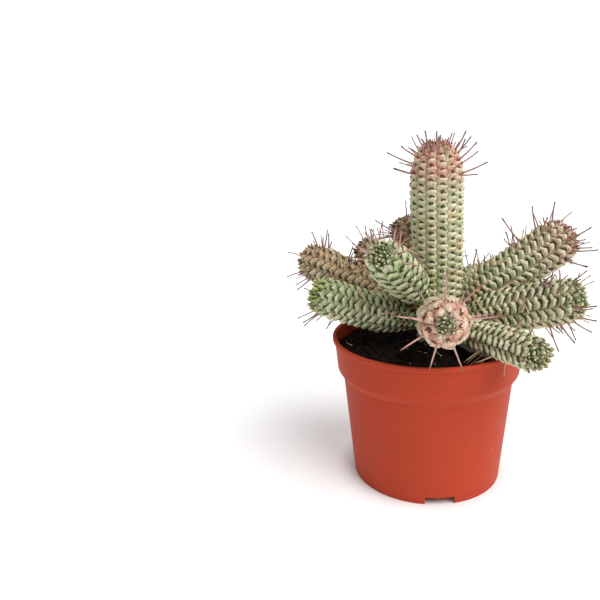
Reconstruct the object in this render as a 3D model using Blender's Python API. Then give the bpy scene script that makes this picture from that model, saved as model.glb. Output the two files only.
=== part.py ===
"""A potted euphorbia: a clump of ribbed succulent stems with dry flower stalks, in a nursery pot.

Run with: blender --background --python part.py
Metres, +Z up. The origin is the centre of the pot's foot, on the surface that the pot stands on, and
-Y is the front.
"""

import math
from collections import namedtuple

import bmesh
import bpy
from mathutils import Vector

MM = 0.001
CLEARANCE = 0.3 * MM  # between two pieces that touch on the real plant

# ---- Pot: a turned plastic shell with a wide collar, a raised floor and a notched foot
POT_HEIGHT = 94.0 * MM
RIM_RADIUS = 60.0 * MM
LIP_HEIGHT = 3.0 * MM
LIP_PROUD = 1.4 * MM  # the rim's bead stands out from the collar by this much
COLLAR_HEIGHT = 22.0 * MM
COLLAR_TAPER = 1.6 * MM  # the collar leans in by this much towards its lower edge
COLLAR_STEP = 3.4 * MM  # from the collar's lower edge in to the body
COLLAR_ROUNDING = 2.6 * MM  # height of the rounded step
FOOT_RADIUS = 47.3 * MM
WALL = 1.2 * MM
FLOOR_LIFT = 6.0 * MM  # underside of the floor above the table
CENTRE_PAD_RADIUS = 9.0 * MM  # where the floor dips to the table at its centre
CENTRE_PAD_SLOPE = 3.0 * MM
POT_SEGMENTS = 60

NOTCH_COUNT = 3
NOTCH_WIDTH = 18.0 * MM
NOTCH_HEIGHT = 4.8 * MM
NOTCH_FIRST_AZIMUTH = -79.0
DRAIN_COUNT = 6
DRAIN_RADIUS = 4.0 * MM
DRAIN_CIRCLE = 28.0 * MM

# ---- Soil
SOIL_DROP = 8.0 * MM  # from the rim down to the soil at the wall
SOIL_MOUND = 1.5 * MM  # the soil lies this much higher at the plant
SOIL_SEGMENTS = 40

# ---- Main stem
MAIN_X = 6.4 * MM
MAIN_Y = 8.0 * MM
MAIN_HEIGHT = 125.2 * MM  # above the soil
MAIN_LEAN = 0.9  # degrees off upright
MAIN_LEAN_AZIMUTH = 180.0
MAIN_RADIUS = 16.0 * MM
MAIN_FOOT_RADIUS = 12.0 * MM  # at the soil
MAIN_SWELL_LENGTH = 50.0 * MM  # over which it grows from the one radius to the other
MAIN_RIBS = 14
MAIN_DOME_SHARE = 1.85  # length of its rounded end, in stem radii
MAIN_DOME_POWER = 3.0  # 2 is an ellipse, and more is blunter

# ---- Arms
NECK_RADIUS = 4.4 * MM  # where an arm leaves the main stem
NECK_END = 12.0 * MM  # from the main stem's axis to where the arm starts to swell
SWELL_END = 42.0 * MM  # from the main stem's axis to where the arm has its full radius
RIB_DEPTH = 1.5 * MM
DOME_SHARE = 1.05  # length of an arm's rounded end, in arm radii
DOME_POWER = 2.2
BODY_RINGS = 8
DOME_RINGS = 5
TIP_HOLLOW = 0.8 * MM  # the growing point lies this much under the end of the stem
RIM_TRIES = 60  # places along an arm where its height over the rim is worked out

Arm = namedtuple("Arm", "name height azimuth turn lift bend length radius ribs")
# height of its start above the soil, and length from the main stem's axis, in mm. azimuth is
# anticlockwise from +X and lift is above the horizon, where the arm starts, and turn and bend are their
# changes up to the tip, all in degrees.
ARMS = (
    Arm("arm_right_upper", 14, 10.5, -8, 30, 8, 97, 14.2, 11),
    Arm("arm_right_middle", 9, -14, -12, 18.5, -1, 90.5, 13.6, 10),
    Arm("arm_right_lower", 5, -52, -4, 14.5, -14, 91.5, 9.8, 9),
    Arm("arm_front", 14, -87.5, 0, 18.5, -6, 86, 14.0, 9),
    Arm("arm_left_lower", 8, 205.5, -10, 18.5, 4, 86.5, 12.0, 10),
    Arm("arm_left_upper", 15, 171, -2, 22, -1, 98, 12.4, 10),
    Arm("arm_left_middle", 22, -124.5, 9, 36, 0, 79.5, 12.0, 10),
    Arm("arm_left_rear", 24, 158, 0, 31, 2, 64.5, 10.0, 9),
    Arm("arm_back_left", 24, 119.5, 0, 39.5, 12, 67, 10.8, 9),
    Arm("arm_back", 16, 87.5, 0, 20, 6, 75.5, 12.2, 10),
    Arm("arm_back_right", 9, 57, 4, 20, 4, 63, 11.0, 10),
)

# ---- Dry flower stalks that stay on the stems' ends
STALK_RADIUS = 0.55 * MM
STALK_HEAD_RADIUS = 0.8 * MM  # the withered flower at the stalk's end
STALK_CURL = 9.0  # degrees that a stalk bends back towards the stem's tip
STALK_SIDES = 6
STALK_STEPS = 3

Stalk = namedtuple("Stalk", "back around lean length")
# back is how far behind the stem's tip it stands and length its own length, in mm. around is the angle
# about the stem, right-handed from the top of an arm or the front of the main stem, and lean the angle
# off the stem's own direction, in degrees.
STALKS = {
    "main_stem": (
        Stalk(4, 300, 40, 10),
        Stalk(5, 335, 30, 13),
        Stalk(3, 0, 8, 9),
        Stalk(8, 280, 62, 11),
        Stalk(13, 270, 70, 18),
        Stalk(18, 285, 78, 12),
        Stalk(6, 75, 36, 13),
        Stalk(8, 90, 48, 13),
        Stalk(11, 80, 52, 14),
        Stalk(14, 90, 64, 13),
        Stalk(19, 80, 72, 16),
        Stalk(7, 180, 30, 12),
    ),
    "arm_right_upper": (
        Stalk(6, 0, 55, 13),
        Stalk(16, 10, 70, 15),
        Stalk(28, 0, 95, 18),
        Stalk(32, 30, 110, 10),
        Stalk(3, 90, 20, 12),
        Stalk(7, 140, 45, 14),
        Stalk(12, 170, 60, 12),
        Stalk(12, 280, 60, 13),
    ),
    "arm_right_middle": (
        Stalk(4, 110, 15, 13),
        Stalk(5, 140, 30, 12),
        Stalk(9, 170, 50, 12),
        Stalk(14, 160, 65, 15),
        Stalk(20, 150, 80, 18),
        Stalk(14, 20, 70, 13),
        Stalk(21, 10, 85, 12),
    ),
    "arm_right_lower": (
        Stalk(40, 130, 110, 12),
        Stalk(14, 40, 60, 13),
    ),
    "arm_front": (
        Stalk(8, 65, 62, 18),
        Stalk(9, 20, 58, 19),
        Stalk(10, 335, 58, 19),
        Stalk(9, 290, 62, 21),
        Stalk(8, 262, 60, 18),
        Stalk(11, 215, 62, 15),
        Stalk(9, 150, 60, 15),
        Stalk(10, 110, 62, 16),
    ),
    "arm_left_lower": (
        Stalk(8, 180, 60, 11),
    ),
    "arm_left_upper": (
        Stalk(8, 350, 55, 11),
        Stalk(14, 20, 70, 12),
    ),
    "arm_left_middle": (
        Stalk(8, 40, 50, 10),
    ),
    "arm_back": (
        Stalk(7, 10, 50, 11),
    ),
    "arm_back_right": (
        Stalk(8, 350, 50, 12),
    ),
}

POT_COLOUR = (0.52, 0.07, 0.03, 1.0)
SOIL_COLOUR = (0.012, 0.009, 0.007, 1.0)
STEM_COLOUR = (0.30, 0.38, 0.18, 1.0)
STALK_COLOUR = (0.32, 0.16, 0.11, 1.0)


# ---- Shared helpers


def clear_scene():
    for old in list(bpy.data.objects):
        bpy.data.objects.remove(old, do_unlink=True)


def make_material(name, colour, roughness):
    material = bpy.data.materials.new(name)
    material.use_nodes = True
    shader = material.node_tree.nodes["Principled BSDF"]
    shader.inputs["Base Color"].default_value = colour
    shader.inputs["Roughness"].default_value = roughness
    shader.inputs["Metallic"].default_value = 0.0
    return material


def make_object(name, shape, material):
    """An object made from a bmesh, smooth-shaded except at sharp edges."""
    bmesh.ops.recalc_face_normals(shape, faces=shape.faces)
    mesh = bpy.data.meshes.new(name)
    shape.to_mesh(mesh)
    shape.free()
    mesh.shade_smooth()
    mesh.set_sharp_from_angle(angle=math.radians(40.0))
    mesh.materials.append(material)
    piece = bpy.data.objects.new(name, mesh)
    bpy.context.collection.objects.link(piece)
    return piece


def cut(piece, cutter):
    """Cuts the cutter's shape out of the piece, and hides the cutter."""
    cutter.hide_render = True
    cutter.display_type = "WIRE"
    modifier = piece.modifiers.new("cut_" + cutter.name, "BOOLEAN")
    modifier.operation = "DIFFERENCE"
    modifier.solver = "EXACT"
    modifier.object = cutter


def turned(profile, segments):
    """A closed solid turned about Z from an open profile of (radius, height) that ends on the axis."""
    shape = bmesh.new()
    rings = []
    for radius, height in profile:
        if radius == 0.0:
            rings.append([shape.verts.new((0.0, 0.0, height))])
            continue
        ring = []
        for i in range(segments):
            a = 2.0 * math.pi * i / segments
            ring.append(shape.verts.new((radius * math.cos(a), radius * math.sin(a), height)))
        rings.append(ring)
    join_rings(shape, rings)
    return shape


def join_rings(shape, rings):
    """Skins one ring after another. A ring of one vertex is a pole."""
    for ring, following in zip(rings, rings[1:]):
        count = max(len(ring), len(following))
        for i in range(count):
            j = (i + 1) % count
            corners = [ring[i % len(ring)], ring[j % len(ring)], following[j % len(following)]]
            corners.append(following[i % len(following)])
            shape.faces.new(list(dict.fromkeys(corners)))


# ---- Pot and soil


def body_radius(height):
    """The pot's outer radius below its collar, where it is a plain cone."""
    top = POT_HEIGHT - COLLAR_HEIGHT - COLLAR_ROUNDING
    top_radius = RIM_RADIUS - LIP_PROUD - COLLAR_TAPER - COLLAR_STEP
    return FOOT_RADIUS + (top_radius - FOOT_RADIUS) * height / top


def collar_radius(height):
    """The collar's outer radius, which leans in towards its lower edge."""
    below_lip = POT_HEIGHT - LIP_HEIGHT - height
    return RIM_RADIUS - LIP_PROUD - COLLAR_TAPER * below_lip / (COLLAR_HEIGHT - LIP_HEIGHT)


def pot_inner_radius(height):
    """The radius of the pot's hollow at a height above its floor."""
    collar_bottom = POT_HEIGHT - COLLAR_HEIGHT
    step_bottom = collar_bottom - COLLAR_ROUNDING
    if height >= collar_bottom:
        return collar_radius(height) - WALL
    if height <= step_bottom:
        return body_radius(height) - WALL
    share = (height - step_bottom) / COLLAR_ROUNDING
    return (1.0 - share) * body_radius(step_bottom) + share * collar_radius(collar_bottom) - WALL


def make_pot(material):
    lip_bottom = POT_HEIGHT - LIP_HEIGHT
    collar_bottom = POT_HEIGHT - COLLAR_HEIGHT
    step_bottom = collar_bottom - COLLAR_ROUNDING
    floor_top = FLOOR_LIFT + WALL
    pad = CENTRE_PAD_RADIUS
    pad_edge = CENTRE_PAD_RADIUS + CENTRE_PAD_SLOPE
    step_top_radius = collar_radius(collar_bottom)
    step_foot_radius = body_radius(step_bottom)
    step_corner = step_foot_radius + 0.8 * (step_top_radius - step_foot_radius)
    profile = (
        (0.0, WALL),
        (pad - 0.5 * WALL, WALL),
        (pad_edge - 0.5 * WALL, floor_top),
        (pot_inner_radius(floor_top), floor_top),
        (pot_inner_radius(step_bottom), step_bottom),
        (pot_inner_radius(collar_bottom), collar_bottom),
        (pot_inner_radius(POT_HEIGHT), POT_HEIGHT),
        (RIM_RADIUS - 0.3 * LIP_PROUD, POT_HEIGHT),
        (RIM_RADIUS, POT_HEIGHT - 0.3 * LIP_HEIGHT),
        (RIM_RADIUS, lip_bottom + 0.2 * LIP_HEIGHT),
        (collar_radius(lip_bottom), lip_bottom),
        (step_top_radius, collar_bottom),
        (step_corner, step_bottom + 0.35 * COLLAR_ROUNDING),
        (step_foot_radius, step_bottom),
        (FOOT_RADIUS, 0.0),
        (FOOT_RADIUS - WALL, 0.0),
        (body_radius(FLOOR_LIFT) - WALL, FLOOR_LIFT),
        (pad_edge + 0.5 * WALL, FLOOR_LIFT),
        (pad + 0.5 * WALL, 0.0),
        (0.0, 0.0),
    )
    pot = make_object("pot", turned(profile, POT_SEGMENTS), material)
    cut(pot, make_pot_cutter(material))
    return pot


def make_pot_cutter(material):
    """The notches in the foot's edge and the drain holes through the floor, as one cutter."""
    shape = bmesh.new()
    for i in range(NOTCH_COUNT):
        angle = math.radians(NOTCH_FIRST_AZIMUTH + 360.0 * i / NOTCH_COUNT)
        add_notch(shape, angle)
    for i in range(DRAIN_COUNT):
        angle = 2.0 * math.pi * (i + 0.5) / DRAIN_COUNT
        add_drain(shape, Vector((math.cos(angle), math.sin(angle), 0.0)) * DRAIN_CIRCLE)
    return make_object("pot_openings", shape, material)


def add_notch(shape, angle):
    """A block with slanted ends through the foot's wall, from under the foot to the notch's height."""
    out = Vector((math.cos(angle), math.sin(angle), 0.0))
    along = Vector((-out.y, out.x, 0.0))
    half = 0.5 * NOTCH_WIDTH
    outline = (
        (-half, -NOTCH_HEIGHT),
        (half, -NOTCH_HEIGHT),
        (half, 0.5 * NOTCH_HEIGHT),
        (half - 0.4 * NOTCH_HEIGHT, NOTCH_HEIGHT),
        (0.4 * NOTCH_HEIGHT - half, NOTCH_HEIGHT),
        (-half, 0.5 * NOTCH_HEIGHT),
    )
    near, far = FOOT_RADIUS - 6.0 * WALL, FOOT_RADIUS + 6.0 * WALL
    ends = []
    for reach in (near, far):
        corners = [out * reach + along * a + Vector((0.0, 0.0, z)) for a, z in outline]
        ends.append([shape.verts.new(corner) for corner in corners])
    join_rings(shape, ends)
    shape.faces.new(ends[0])
    shape.faces.new(ends[1])


def add_drain(shape, centre):
    """A round plug through the floor."""
    sides = 16
    ends = []
    for height in (FLOOR_LIFT - 2.0 * WALL, FLOOR_LIFT + 3.0 * WALL):
        ring = []
        for i in range(sides):
            a = 2.0 * math.pi * i / sides
            spot = centre + Vector((math.cos(a) * DRAIN_RADIUS, math.sin(a) * DRAIN_RADIUS, height))
            ring.append(shape.verts.new(spot))
        ends.append(ring)
    join_rings(shape, ends)
    shape.faces.new(ends[0])
    shape.faces.new(ends[1])


def soil_level():
    """The soil's height where the plant stands."""
    return POT_HEIGHT - SOIL_DROP + SOIL_MOUND


def make_soil(material):
    edge = POT_HEIGHT - SOIL_DROP
    collar_bottom = POT_HEIGHT - COLLAR_HEIGHT
    step_bottom = collar_bottom - COLLAR_ROUNDING
    bottom = FLOOR_LIFT + WALL + CLEARANCE
    gap = 2.0 * CLEARANCE  # to the wall, whose facets lie a little inside its round profile
    mounded = edge + 0.7 * SOIL_MOUND
    profile = (
        (0.0, bottom),
        (pot_inner_radius(bottom) - gap, bottom),
        (pot_inner_radius(step_bottom) - gap, step_bottom),
        (pot_inner_radius(collar_bottom) - gap, collar_bottom),
        (pot_inner_radius(edge) - gap, edge),
        (0.6 * RIM_RADIUS, mounded),
        (0.3 * RIM_RADIUS, soil_level()),
        (0.0, soil_level()),
    )
    return make_object("soil", turned(profile, SOIL_SEGMENTS), material)


# ---- Stems


def heading(azimuth, lift):
    """The unit vector along an azimuth and a lift above the horizon, in degrees."""
    a, e = math.radians(azimuth), math.radians(lift)
    return Vector((math.cos(a) * math.cos(e), math.sin(a) * math.cos(e), math.sin(e)))


def smooth_step(x):
    x = min(max(x, 0.0), 1.0)
    return x * x * (3.0 - 2.0 * x)


def main_axis(height):
    """The point on the main stem's axis at a height above the soil."""
    foot = Vector((MAIN_X, MAIN_Y, soil_level()))
    direction = heading(MAIN_LEAN_AZIMUTH, 90.0 - MAIN_LEAN)
    return foot + direction * (height / direction.z)


class Stem:
    """A stem's axis, its radius along it and its ribs."""

    dome_share = DOME_SHARE
    dome_power = DOME_POWER

    def __init__(self, name, start, azimuth, turn, lift, bend, length, radius, ribs, reference):
        self.name = name
        self.start = start
        self.azimuth, self.turn = azimuth, turn
        self.lift, self.bend = lift, bend
        self.length = length
        self.radius = radius
        self.ribs = ribs
        self.reference = reference

    def direction(self, distance):
        share = distance / self.length
        return heading(self.azimuth + self.turn * share, self.lift + self.bend * share)

    def axis(self, distance):
        """The point on the axis at a distance from its start."""
        pieces = 24
        point = self.start.copy()
        for i in range(pieces):
            point += self.direction(distance * (i + 0.5) / pieces) * (distance / pieces)
        return point

    def sides(self, distance):
        """Two unit vectors square to the axis: towards the reference, and right-handed from it."""
        forward = self.direction(distance)
        first = (self.reference - forward * self.reference.dot(forward)).normalized()
        return first, forward.cross(first)

    def spot(self, distance, around, radius):
        first, second = self.sides(distance)
        a = math.radians(around)
        return self.axis(distance) + (first * math.cos(a) + second * math.sin(a)) * radius

    def dome_start(self):
        return self.length - self.dome_share * self.radius

    def crest_radius(self, distance):
        """The radius on a rib, which falls to 0 at the stem's tip."""
        into = (distance - self.dome_start()) / (self.length - self.dome_start())
        kept = math.sqrt(max(1.0 - min(max(into, 0.0), 1.0) ** self.dome_power, 0.0))
        return self.body_radius(distance) * kept

    def groove_radius(self, distance):
        crest = self.crest_radius(distance)
        return crest - min(RIB_DEPTH, 0.25 * crest)

    def distances(self):
        dome_start = self.dome_start()
        body = [dome_start * i / BODY_RINGS for i in range(BODY_RINGS)]
        dome = []
        for i in range(DOME_RINGS):
            angle = 0.5 * math.pi * i / DOME_RINGS
            dome.append(dome_start + (self.length - dome_start) * math.sin(angle))
        return body + dome

    def shape(self, swell):
        """The stem's skin, thickened by swell."""
        shape = bmesh.new()
        pitch = 360.0 / self.ribs
        start = self.axis(0.0) - self.direction(0.0) * swell
        rings = [[shape.verts.new(start)]]
        for distance in self.distances():
            crest = self.crest_radius(distance) + swell
            groove = self.groove_radius(distance) + swell
            ring = []
            for i in range(self.ribs):
                ring.append(shape.verts.new(self.spot(distance, pitch * i, crest)))
                ring.append(shape.verts.new(self.spot(distance, pitch * (i + 0.5), groove)))
            rings.append(ring)
        end = self.axis(self.length) + self.direction(self.length) * (swell - TIP_HOLLOW)
        rings.append([shape.verts.new(end)])
        join_rings(shape, rings)
        return shape


class MainStem(Stem):
    dome_share = MAIN_DOME_SHARE
    dome_power = MAIN_DOME_POWER

    def __init__(self):
        length = MAIN_HEIGHT / math.cos(math.radians(MAIN_LEAN))
        front = Vector((0.0, -1.0, 0.0))
        lift = 90.0 - MAIN_LEAN
        start = main_axis(CLEARANCE + MAIN_FOOT_RADIUS * math.sin(math.radians(MAIN_LEAN)))
        super().__init__(
            "main_stem", start, MAIN_LEAN_AZIMUTH, 0.0, lift, 0.0, length, MAIN_RADIUS, MAIN_RIBS, front
        )

    def body_radius(self, distance):
        share = smooth_step(distance / MAIN_SWELL_LENGTH)
        return MAIN_FOOT_RADIUS + (self.radius - MAIN_FOOT_RADIUS) * share


class ArmStem(Stem):
    def __init__(self, arm):
        start = main_axis(arm.height * MM)
        length, radius = arm.length * MM, arm.radius * MM
        up = Vector((0.0, 0.0, 1.0))
        super().__init__(
            arm.name, start, arm.azimuth, arm.turn, arm.lift, arm.bend, length, radius, arm.ribs, up
        )
        self.start.z += self.short_of_rim()

    def short_of_rim(self):
        """How far the arm has to be raised to pass over the pot's rim."""
        short = 0.0
        for i in range(RIM_TRIES):
            distance = self.length * i / RIM_TRIES
            point = self.axis(distance)
            crest = self.crest_radius(distance)
            beside = math.hypot(point.x, point.y) - RIM_RADIUS
            off_rim = max(beside, -beside - WALL, 0.0)
            if off_rim < crest:
                underside = point.z - math.sqrt(crest**2 - off_rim**2)
                short = max(short, POT_HEIGHT + CLEARANCE - underside)
        return short

    def body_radius(self, distance):
        share = smooth_step((distance - NECK_END) / (SWELL_END - NECK_END))
        return NECK_RADIUS + (self.radius - NECK_RADIUS) * share


def make_stems(material):
    """The stems, each cut clear of those before it, so that those that press together don't overlap."""
    stems = [MainStem()] + [ArmStem(arm) for arm in ARMS]
    cutters = []
    for stem in stems:
        piece = make_object(stem.name, stem.shape(0.0), material)
        for cutter in cutters:
            cut(piece, cutter)
        cutters.append(make_object(stem.name + "_clearance", stem.shape(CLEARANCE), material))
    for cutter in cutters:
        cutter.hide_render = True
        cutter.display_type = "WIRE"
    return stems


# ---- Dry flower stalks


def make_stalk(name, stem, stalk, material):
    """A thin stalk that stands off the stem's skin and curls a little towards the stem's tip."""
    distance = stem.length - stalk.back * MM
    pitch = 360.0 / stem.ribs
    around = pitch * round(stalk.around / pitch)
    foot = stem.spot(distance, around, stem.crest_radius(distance))
    forward = stem.direction(distance)
    outward = (foot - stem.axis(distance)).normalized()
    length = stalk.length * MM
    lean = math.radians(stalk.lean)
    curl = math.radians(STALK_CURL)
    point = foot + (outward * math.sin(lean) + forward * math.cos(lean)) * (CLEARANCE + STALK_RADIUS)
    shape = bmesh.new()
    rings = [[shape.verts.new(point)]]
    for i in range(STALK_STEPS + 1):
        share = i / STALK_STEPS
        angle = lean - curl * share
        direction = outward * math.sin(angle) + forward * math.cos(angle)
        if i > 0:
            point = point + direction * (length / STALK_STEPS)
        radius = STALK_HEAD_RADIUS if i == STALK_STEPS else STALK_RADIUS
        across = direction.cross(outward.cross(forward)).normalized()
        other = direction.cross(across)
        ring = []
        for k in range(STALK_SIDES):
            a = 2.0 * math.pi * k / STALK_SIDES
            ring.append(shape.verts.new(point + (across * math.cos(a) + other * math.sin(a)) * radius))
        rings.append(ring)
    rings.append([shape.verts.new(point + direction * STALK_HEAD_RADIUS)])
    join_rings(shape, rings)
    return make_object(name, shape, material)


def main():
    clear_scene()
    make_pot(make_material("pot_plastic", POT_COLOUR, 0.42))
    make_soil(make_material("soil", SOIL_COLOUR, 0.95))
    stem_skin = make_material("stem_skin", STEM_COLOUR, 0.6)
    dry_stalk = make_material("dry_stalk", STALK_COLOUR, 0.8)
    for stem in make_stems(stem_skin):
        for number, stalk in enumerate(STALKS.get(stem.name, ()), start=1):
            make_stalk(f"{stem.name}_stalk_{number}", stem, stalk, dry_stalk)


main()
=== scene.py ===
# %% [markdown]
# # A potted euphorbia
# The plant is a clump of ribbed stems that grow from one foot in a plastic nursery pot. The solids of the
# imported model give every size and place. This lesson loads them, builds the detailed skin of each piece
# around them, and gives each piece its finish.

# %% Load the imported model
import math
import random
from collections import namedtuple

import bmesh
import bpy
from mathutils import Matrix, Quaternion, Vector, noise


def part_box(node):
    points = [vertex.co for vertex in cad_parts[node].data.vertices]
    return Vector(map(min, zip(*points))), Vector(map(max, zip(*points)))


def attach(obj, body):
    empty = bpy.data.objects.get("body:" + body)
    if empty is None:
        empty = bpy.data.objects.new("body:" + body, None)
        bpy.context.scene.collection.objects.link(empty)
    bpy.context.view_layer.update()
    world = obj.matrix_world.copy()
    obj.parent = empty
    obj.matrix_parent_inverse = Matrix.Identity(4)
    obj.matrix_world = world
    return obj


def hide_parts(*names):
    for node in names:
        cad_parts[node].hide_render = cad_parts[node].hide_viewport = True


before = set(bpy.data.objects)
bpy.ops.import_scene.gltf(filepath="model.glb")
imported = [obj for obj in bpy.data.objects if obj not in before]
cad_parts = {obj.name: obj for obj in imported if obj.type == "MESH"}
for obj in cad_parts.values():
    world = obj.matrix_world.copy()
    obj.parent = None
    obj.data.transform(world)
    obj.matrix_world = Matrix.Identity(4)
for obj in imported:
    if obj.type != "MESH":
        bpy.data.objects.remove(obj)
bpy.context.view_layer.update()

MM = 0.001
TINY = 0.01 * MM
UP = Vector((0.0, 0.0, 1.0))
FRONT = Vector((0.0, -1.0, 0.0))

# %% [markdown]
# ## The camera
# It stands in front of the pot and a little above it, as a person does who looks at a plant on a table. The
# lens looks to the left of the plant, so the plant stands in the right half of the view, and the camera leans
# by a few degrees. It is set up first, because every later choice is judged through it.

# %% Set up the camera
CAMERA_PLACE = Vector((0.0, -394.0, 231.0)) * MM
CAMERA_TURN = math.radians(11.7)  # to the left of +Y
CAMERA_PITCH = math.radians(16.08)  # below the horizon
CAMERA_ROLL = math.radians(2.6)
LENS = 38.4
SENSOR = 36.0
NEAREST_SEEN = 10.0 * MM


def make_camera():
    camera = bpy.data.objects.new("camera", bpy.data.cameras.new("camera"))
    camera.data.lens = LENS
    camera.data.sensor_width = SENSOR
    camera.data.clip_start = NEAREST_SEEN
    level = math.cos(CAMERA_PITCH)
    aside, ahead = -math.sin(CAMERA_TURN) * level, math.cos(CAMERA_TURN) * level
    aimed = Vector((aside, ahead, -math.sin(CAMERA_PITCH))).to_track_quat("-Z", "Y")
    camera.rotation_mode = "QUATERNION"
    camera.rotation_quaternion = Quaternion(aimed @ UP, -CAMERA_ROLL) @ aimed
    camera.location = CAMERA_PLACE
    bpy.context.scene.collection.objects.link(camera)
    bpy.context.scene.camera = camera


make_camera()
print("camera: lens", LENS, "mm at", [round(c, 3) for c in CAMERA_PLACE])

# %% [markdown]
# ## Wiring nodes from formulas
# A stem's bumps and its colours follow the same pattern of rows. The bumps are made by Geometry Nodes and the
# colours by a material, and both are trees of small maths nodes. Placing those nodes one at a time makes a
# script that nobody can read. So a small class stands for one value in a tree, and ordinary arithmetic on it
# adds the maths nodes. One formula then serves both trees.


# %% A value in a node tree
def plug(tree, socket, value):
    """Links a wire to a socket, or sets the socket's own value."""
    if isinstance(value, Wire):
        tree.links.new(value.socket, socket)
    else:
        socket.default_value = value


class Wire:
    """One value in a node tree. Arithmetic on it adds maths nodes to the tree."""

    def __init__(self, tree, socket):
        self.tree = tree
        self.socket = socket

    def maths(self, operation, *others):
        node = self.tree.nodes.new("ShaderNodeMath")
        node.operation = operation
        for socket, value in zip(node.inputs, (self, *others)):
            plug(self.tree, socket, value)
        return Wire(self.tree, node.outputs[0])

    def __add__(self, other):
        return self.maths("ADD", other)

    def __sub__(self, other):
        return self.maths("SUBTRACT", other)

    def __mul__(self, other):
        return self.maths("MULTIPLY", other)

    def __truediv__(self, other):
        return self.maths("DIVIDE", other)

    def __pow__(self, other):
        return self.maths("POWER", other)

    def __rsub__(self, other):
        return self * -1.0 + other

    def __abs__(self):
        return self.maths("ABSOLUTE")

    __radd__ = __add__
    __rmul__ = __mul__

    def step(self, start, end):
        """0 at start and 1 at end, with a smooth rise between them. start may be the larger."""
        node = self.tree.nodes.new("ShaderNodeMapRange")
        node.interpolation_type = "SMOOTHSTEP"
        plug(self.tree, node.inputs["Value"], self)
        node.inputs["From Min"].default_value = min(start, end)
        node.inputs["From Max"].default_value = max(start, end)
        rise = Wire(self.tree, node.outputs["Result"])
        return rise if start < end else 1.0 - rise


def add_node(tree, kind, settings=(), **values):
    """A new node with its settings and the values of its inputs, whose names have _ for a space."""
    node = tree.nodes.new(kind)
    for name, setting in dict(settings).items():
        setattr(node, name, setting)
    for name, value in values.items():
        socket = next(s for s in node.inputs if s.enabled and s.name == name.replace("_", " "))
        plug(tree, socket, value)
    return node


def output(node, name=None):
    """The wire from a node's named output, or from its first one."""
    socket = next(s for s in node.outputs if s.enabled and (name is None or s.name == name))
    return Wire(node.id_data, socket)


def clouds(tree, place, scale, detail=3.0, roughness=0.55):
    """Noise from 0 to 1, about 0.5, over a place. scale is lumps in a metre."""
    values = {"Vector": place, "Scale": scale, "Detail": detail, "Roughness": roughness}
    return output(add_node(tree, "ShaderNodeTexNoise", **values))


print("arithmetic on wires: + - * / ** abs, step and any maths node")

# %% [markdown]
# Every Geometry Nodes tree here is used in the same way. A small carrier mesh goes in, the named inputs are
# set by their identifiers, and the result is kept as a plain mesh that no longer needs the tree.


# %% Build and apply a Geometry Nodes tree
def new_tree(name, inputs):
    """A tree with a Geometry input and output, and the named inputs given as name: socket type."""
    tree = bpy.data.node_groups.new(name, "GeometryNodeTree")
    tree.interface.new_socket("Geometry", in_out="INPUT", socket_type="NodeSocketGeometry")
    for label, kind in inputs.items():
        tree.interface.new_socket(label, in_out="INPUT", socket_type="NodeSocket" + kind)
    tree.interface.new_socket("Geometry", in_out="OUTPUT", socket_type="NodeSocketGeometry")
    entry = tree.nodes.new("NodeGroupInput")
    return tree, {socket.name: Wire(tree, socket) for socket in entry.outputs if socket.name}


def close_tree(tree, geometry, material):
    """Ends a tree: copies become real geometry, which gets its material."""
    whole = add_node(tree, "GeometryNodeRealizeInstances", Geometry=geometry)
    done = add_node(tree, "GeometryNodeSetMaterial", Geometry=output(whole), Material=material)
    end = tree.nodes.new("NodeGroupOutput")
    plug(tree, end.inputs["Geometry"], output(done))


def grown(name, tree, carrier, values):
    """The mesh object that a tree makes from a carrier mesh."""
    holder = show(name + "_carrier", carrier)
    modifier = holder.modifiers.new("grow", "NODES")
    modifier.node_group = tree
    inputs = [item for item in tree.interface.items_tree if item.in_out == "INPUT"]
    identifiers = {item.name: item.identifier for item in inputs}
    for label, value in values.items():
        modifier[identifiers[label]] = value
    mesh = applied(holder)
    mesh.name = name
    bpy.data.objects.remove(holder, do_unlink=True)
    bpy.data.meshes.remove(carrier)
    return show(name, mesh)


def show(name, data):
    """An object at the origin that holds a mesh or a light."""
    piece = bpy.data.objects.new(name, data)
    bpy.context.scene.collection.objects.link(piece)
    return piece


def applied(piece):
    """The mesh that an object's modifiers make, as a plain mesh."""
    graph = bpy.context.evaluated_depsgraph_get()
    return bpy.data.meshes.new_from_object(piece.evaluated_get(graph))


def skinned(rings):
    """A bmesh skinned over rings of points. A ring of one point is an end."""
    shape = bmesh.new()
    rows = [[shape.verts.new(point) for point in ring] for ring in rings]
    for ring, following in zip(rows, rows[1:]):
        count = max(len(ring), len(following))
        for i in range(count):
            j = (i + 1) % count
            corners = [ring[i % len(ring)], ring[j % len(ring)], following[j % len(following)]]
            corners.append(following[i % len(following)])
            shape.faces.new(list(dict.fromkeys(corners)))
    return shape


def mesh_of(name, shape):
    """The mesh of a closed bmesh, with its faces outwards."""
    bmesh.ops.recalc_face_normals(shape, faces=shape.faces)
    mesh = bpy.data.meshes.new(name)
    shape.to_mesh(mesh)
    shape.free()
    return mesh


def join_frame(piece, slot, *nodes):
    """Puts a finished piece on the body and hides the solids that it replaces. The object has one body, so
    every piece rides on it.
    """
    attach(piece, "root")
    if nodes:
        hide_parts(*nodes)
    triangles = sum(len(face.vertices) - 2 for face in piece.data.polygons)
    print(f"{piece.name}: {triangles} triangles")


print("helpers: new_tree, close_tree, grown, show, applied, skinned, mesh_of, join_frame")

# %% [markdown]
# ## The stems' axes
# Each stem is a path with a girth at every distance along it. The main stem stands upright, and the arms
# leave it close to the soil, swell, and bend a little on their way. The numbers are those of the solids, so
# that each skin lies on its solid.

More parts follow.
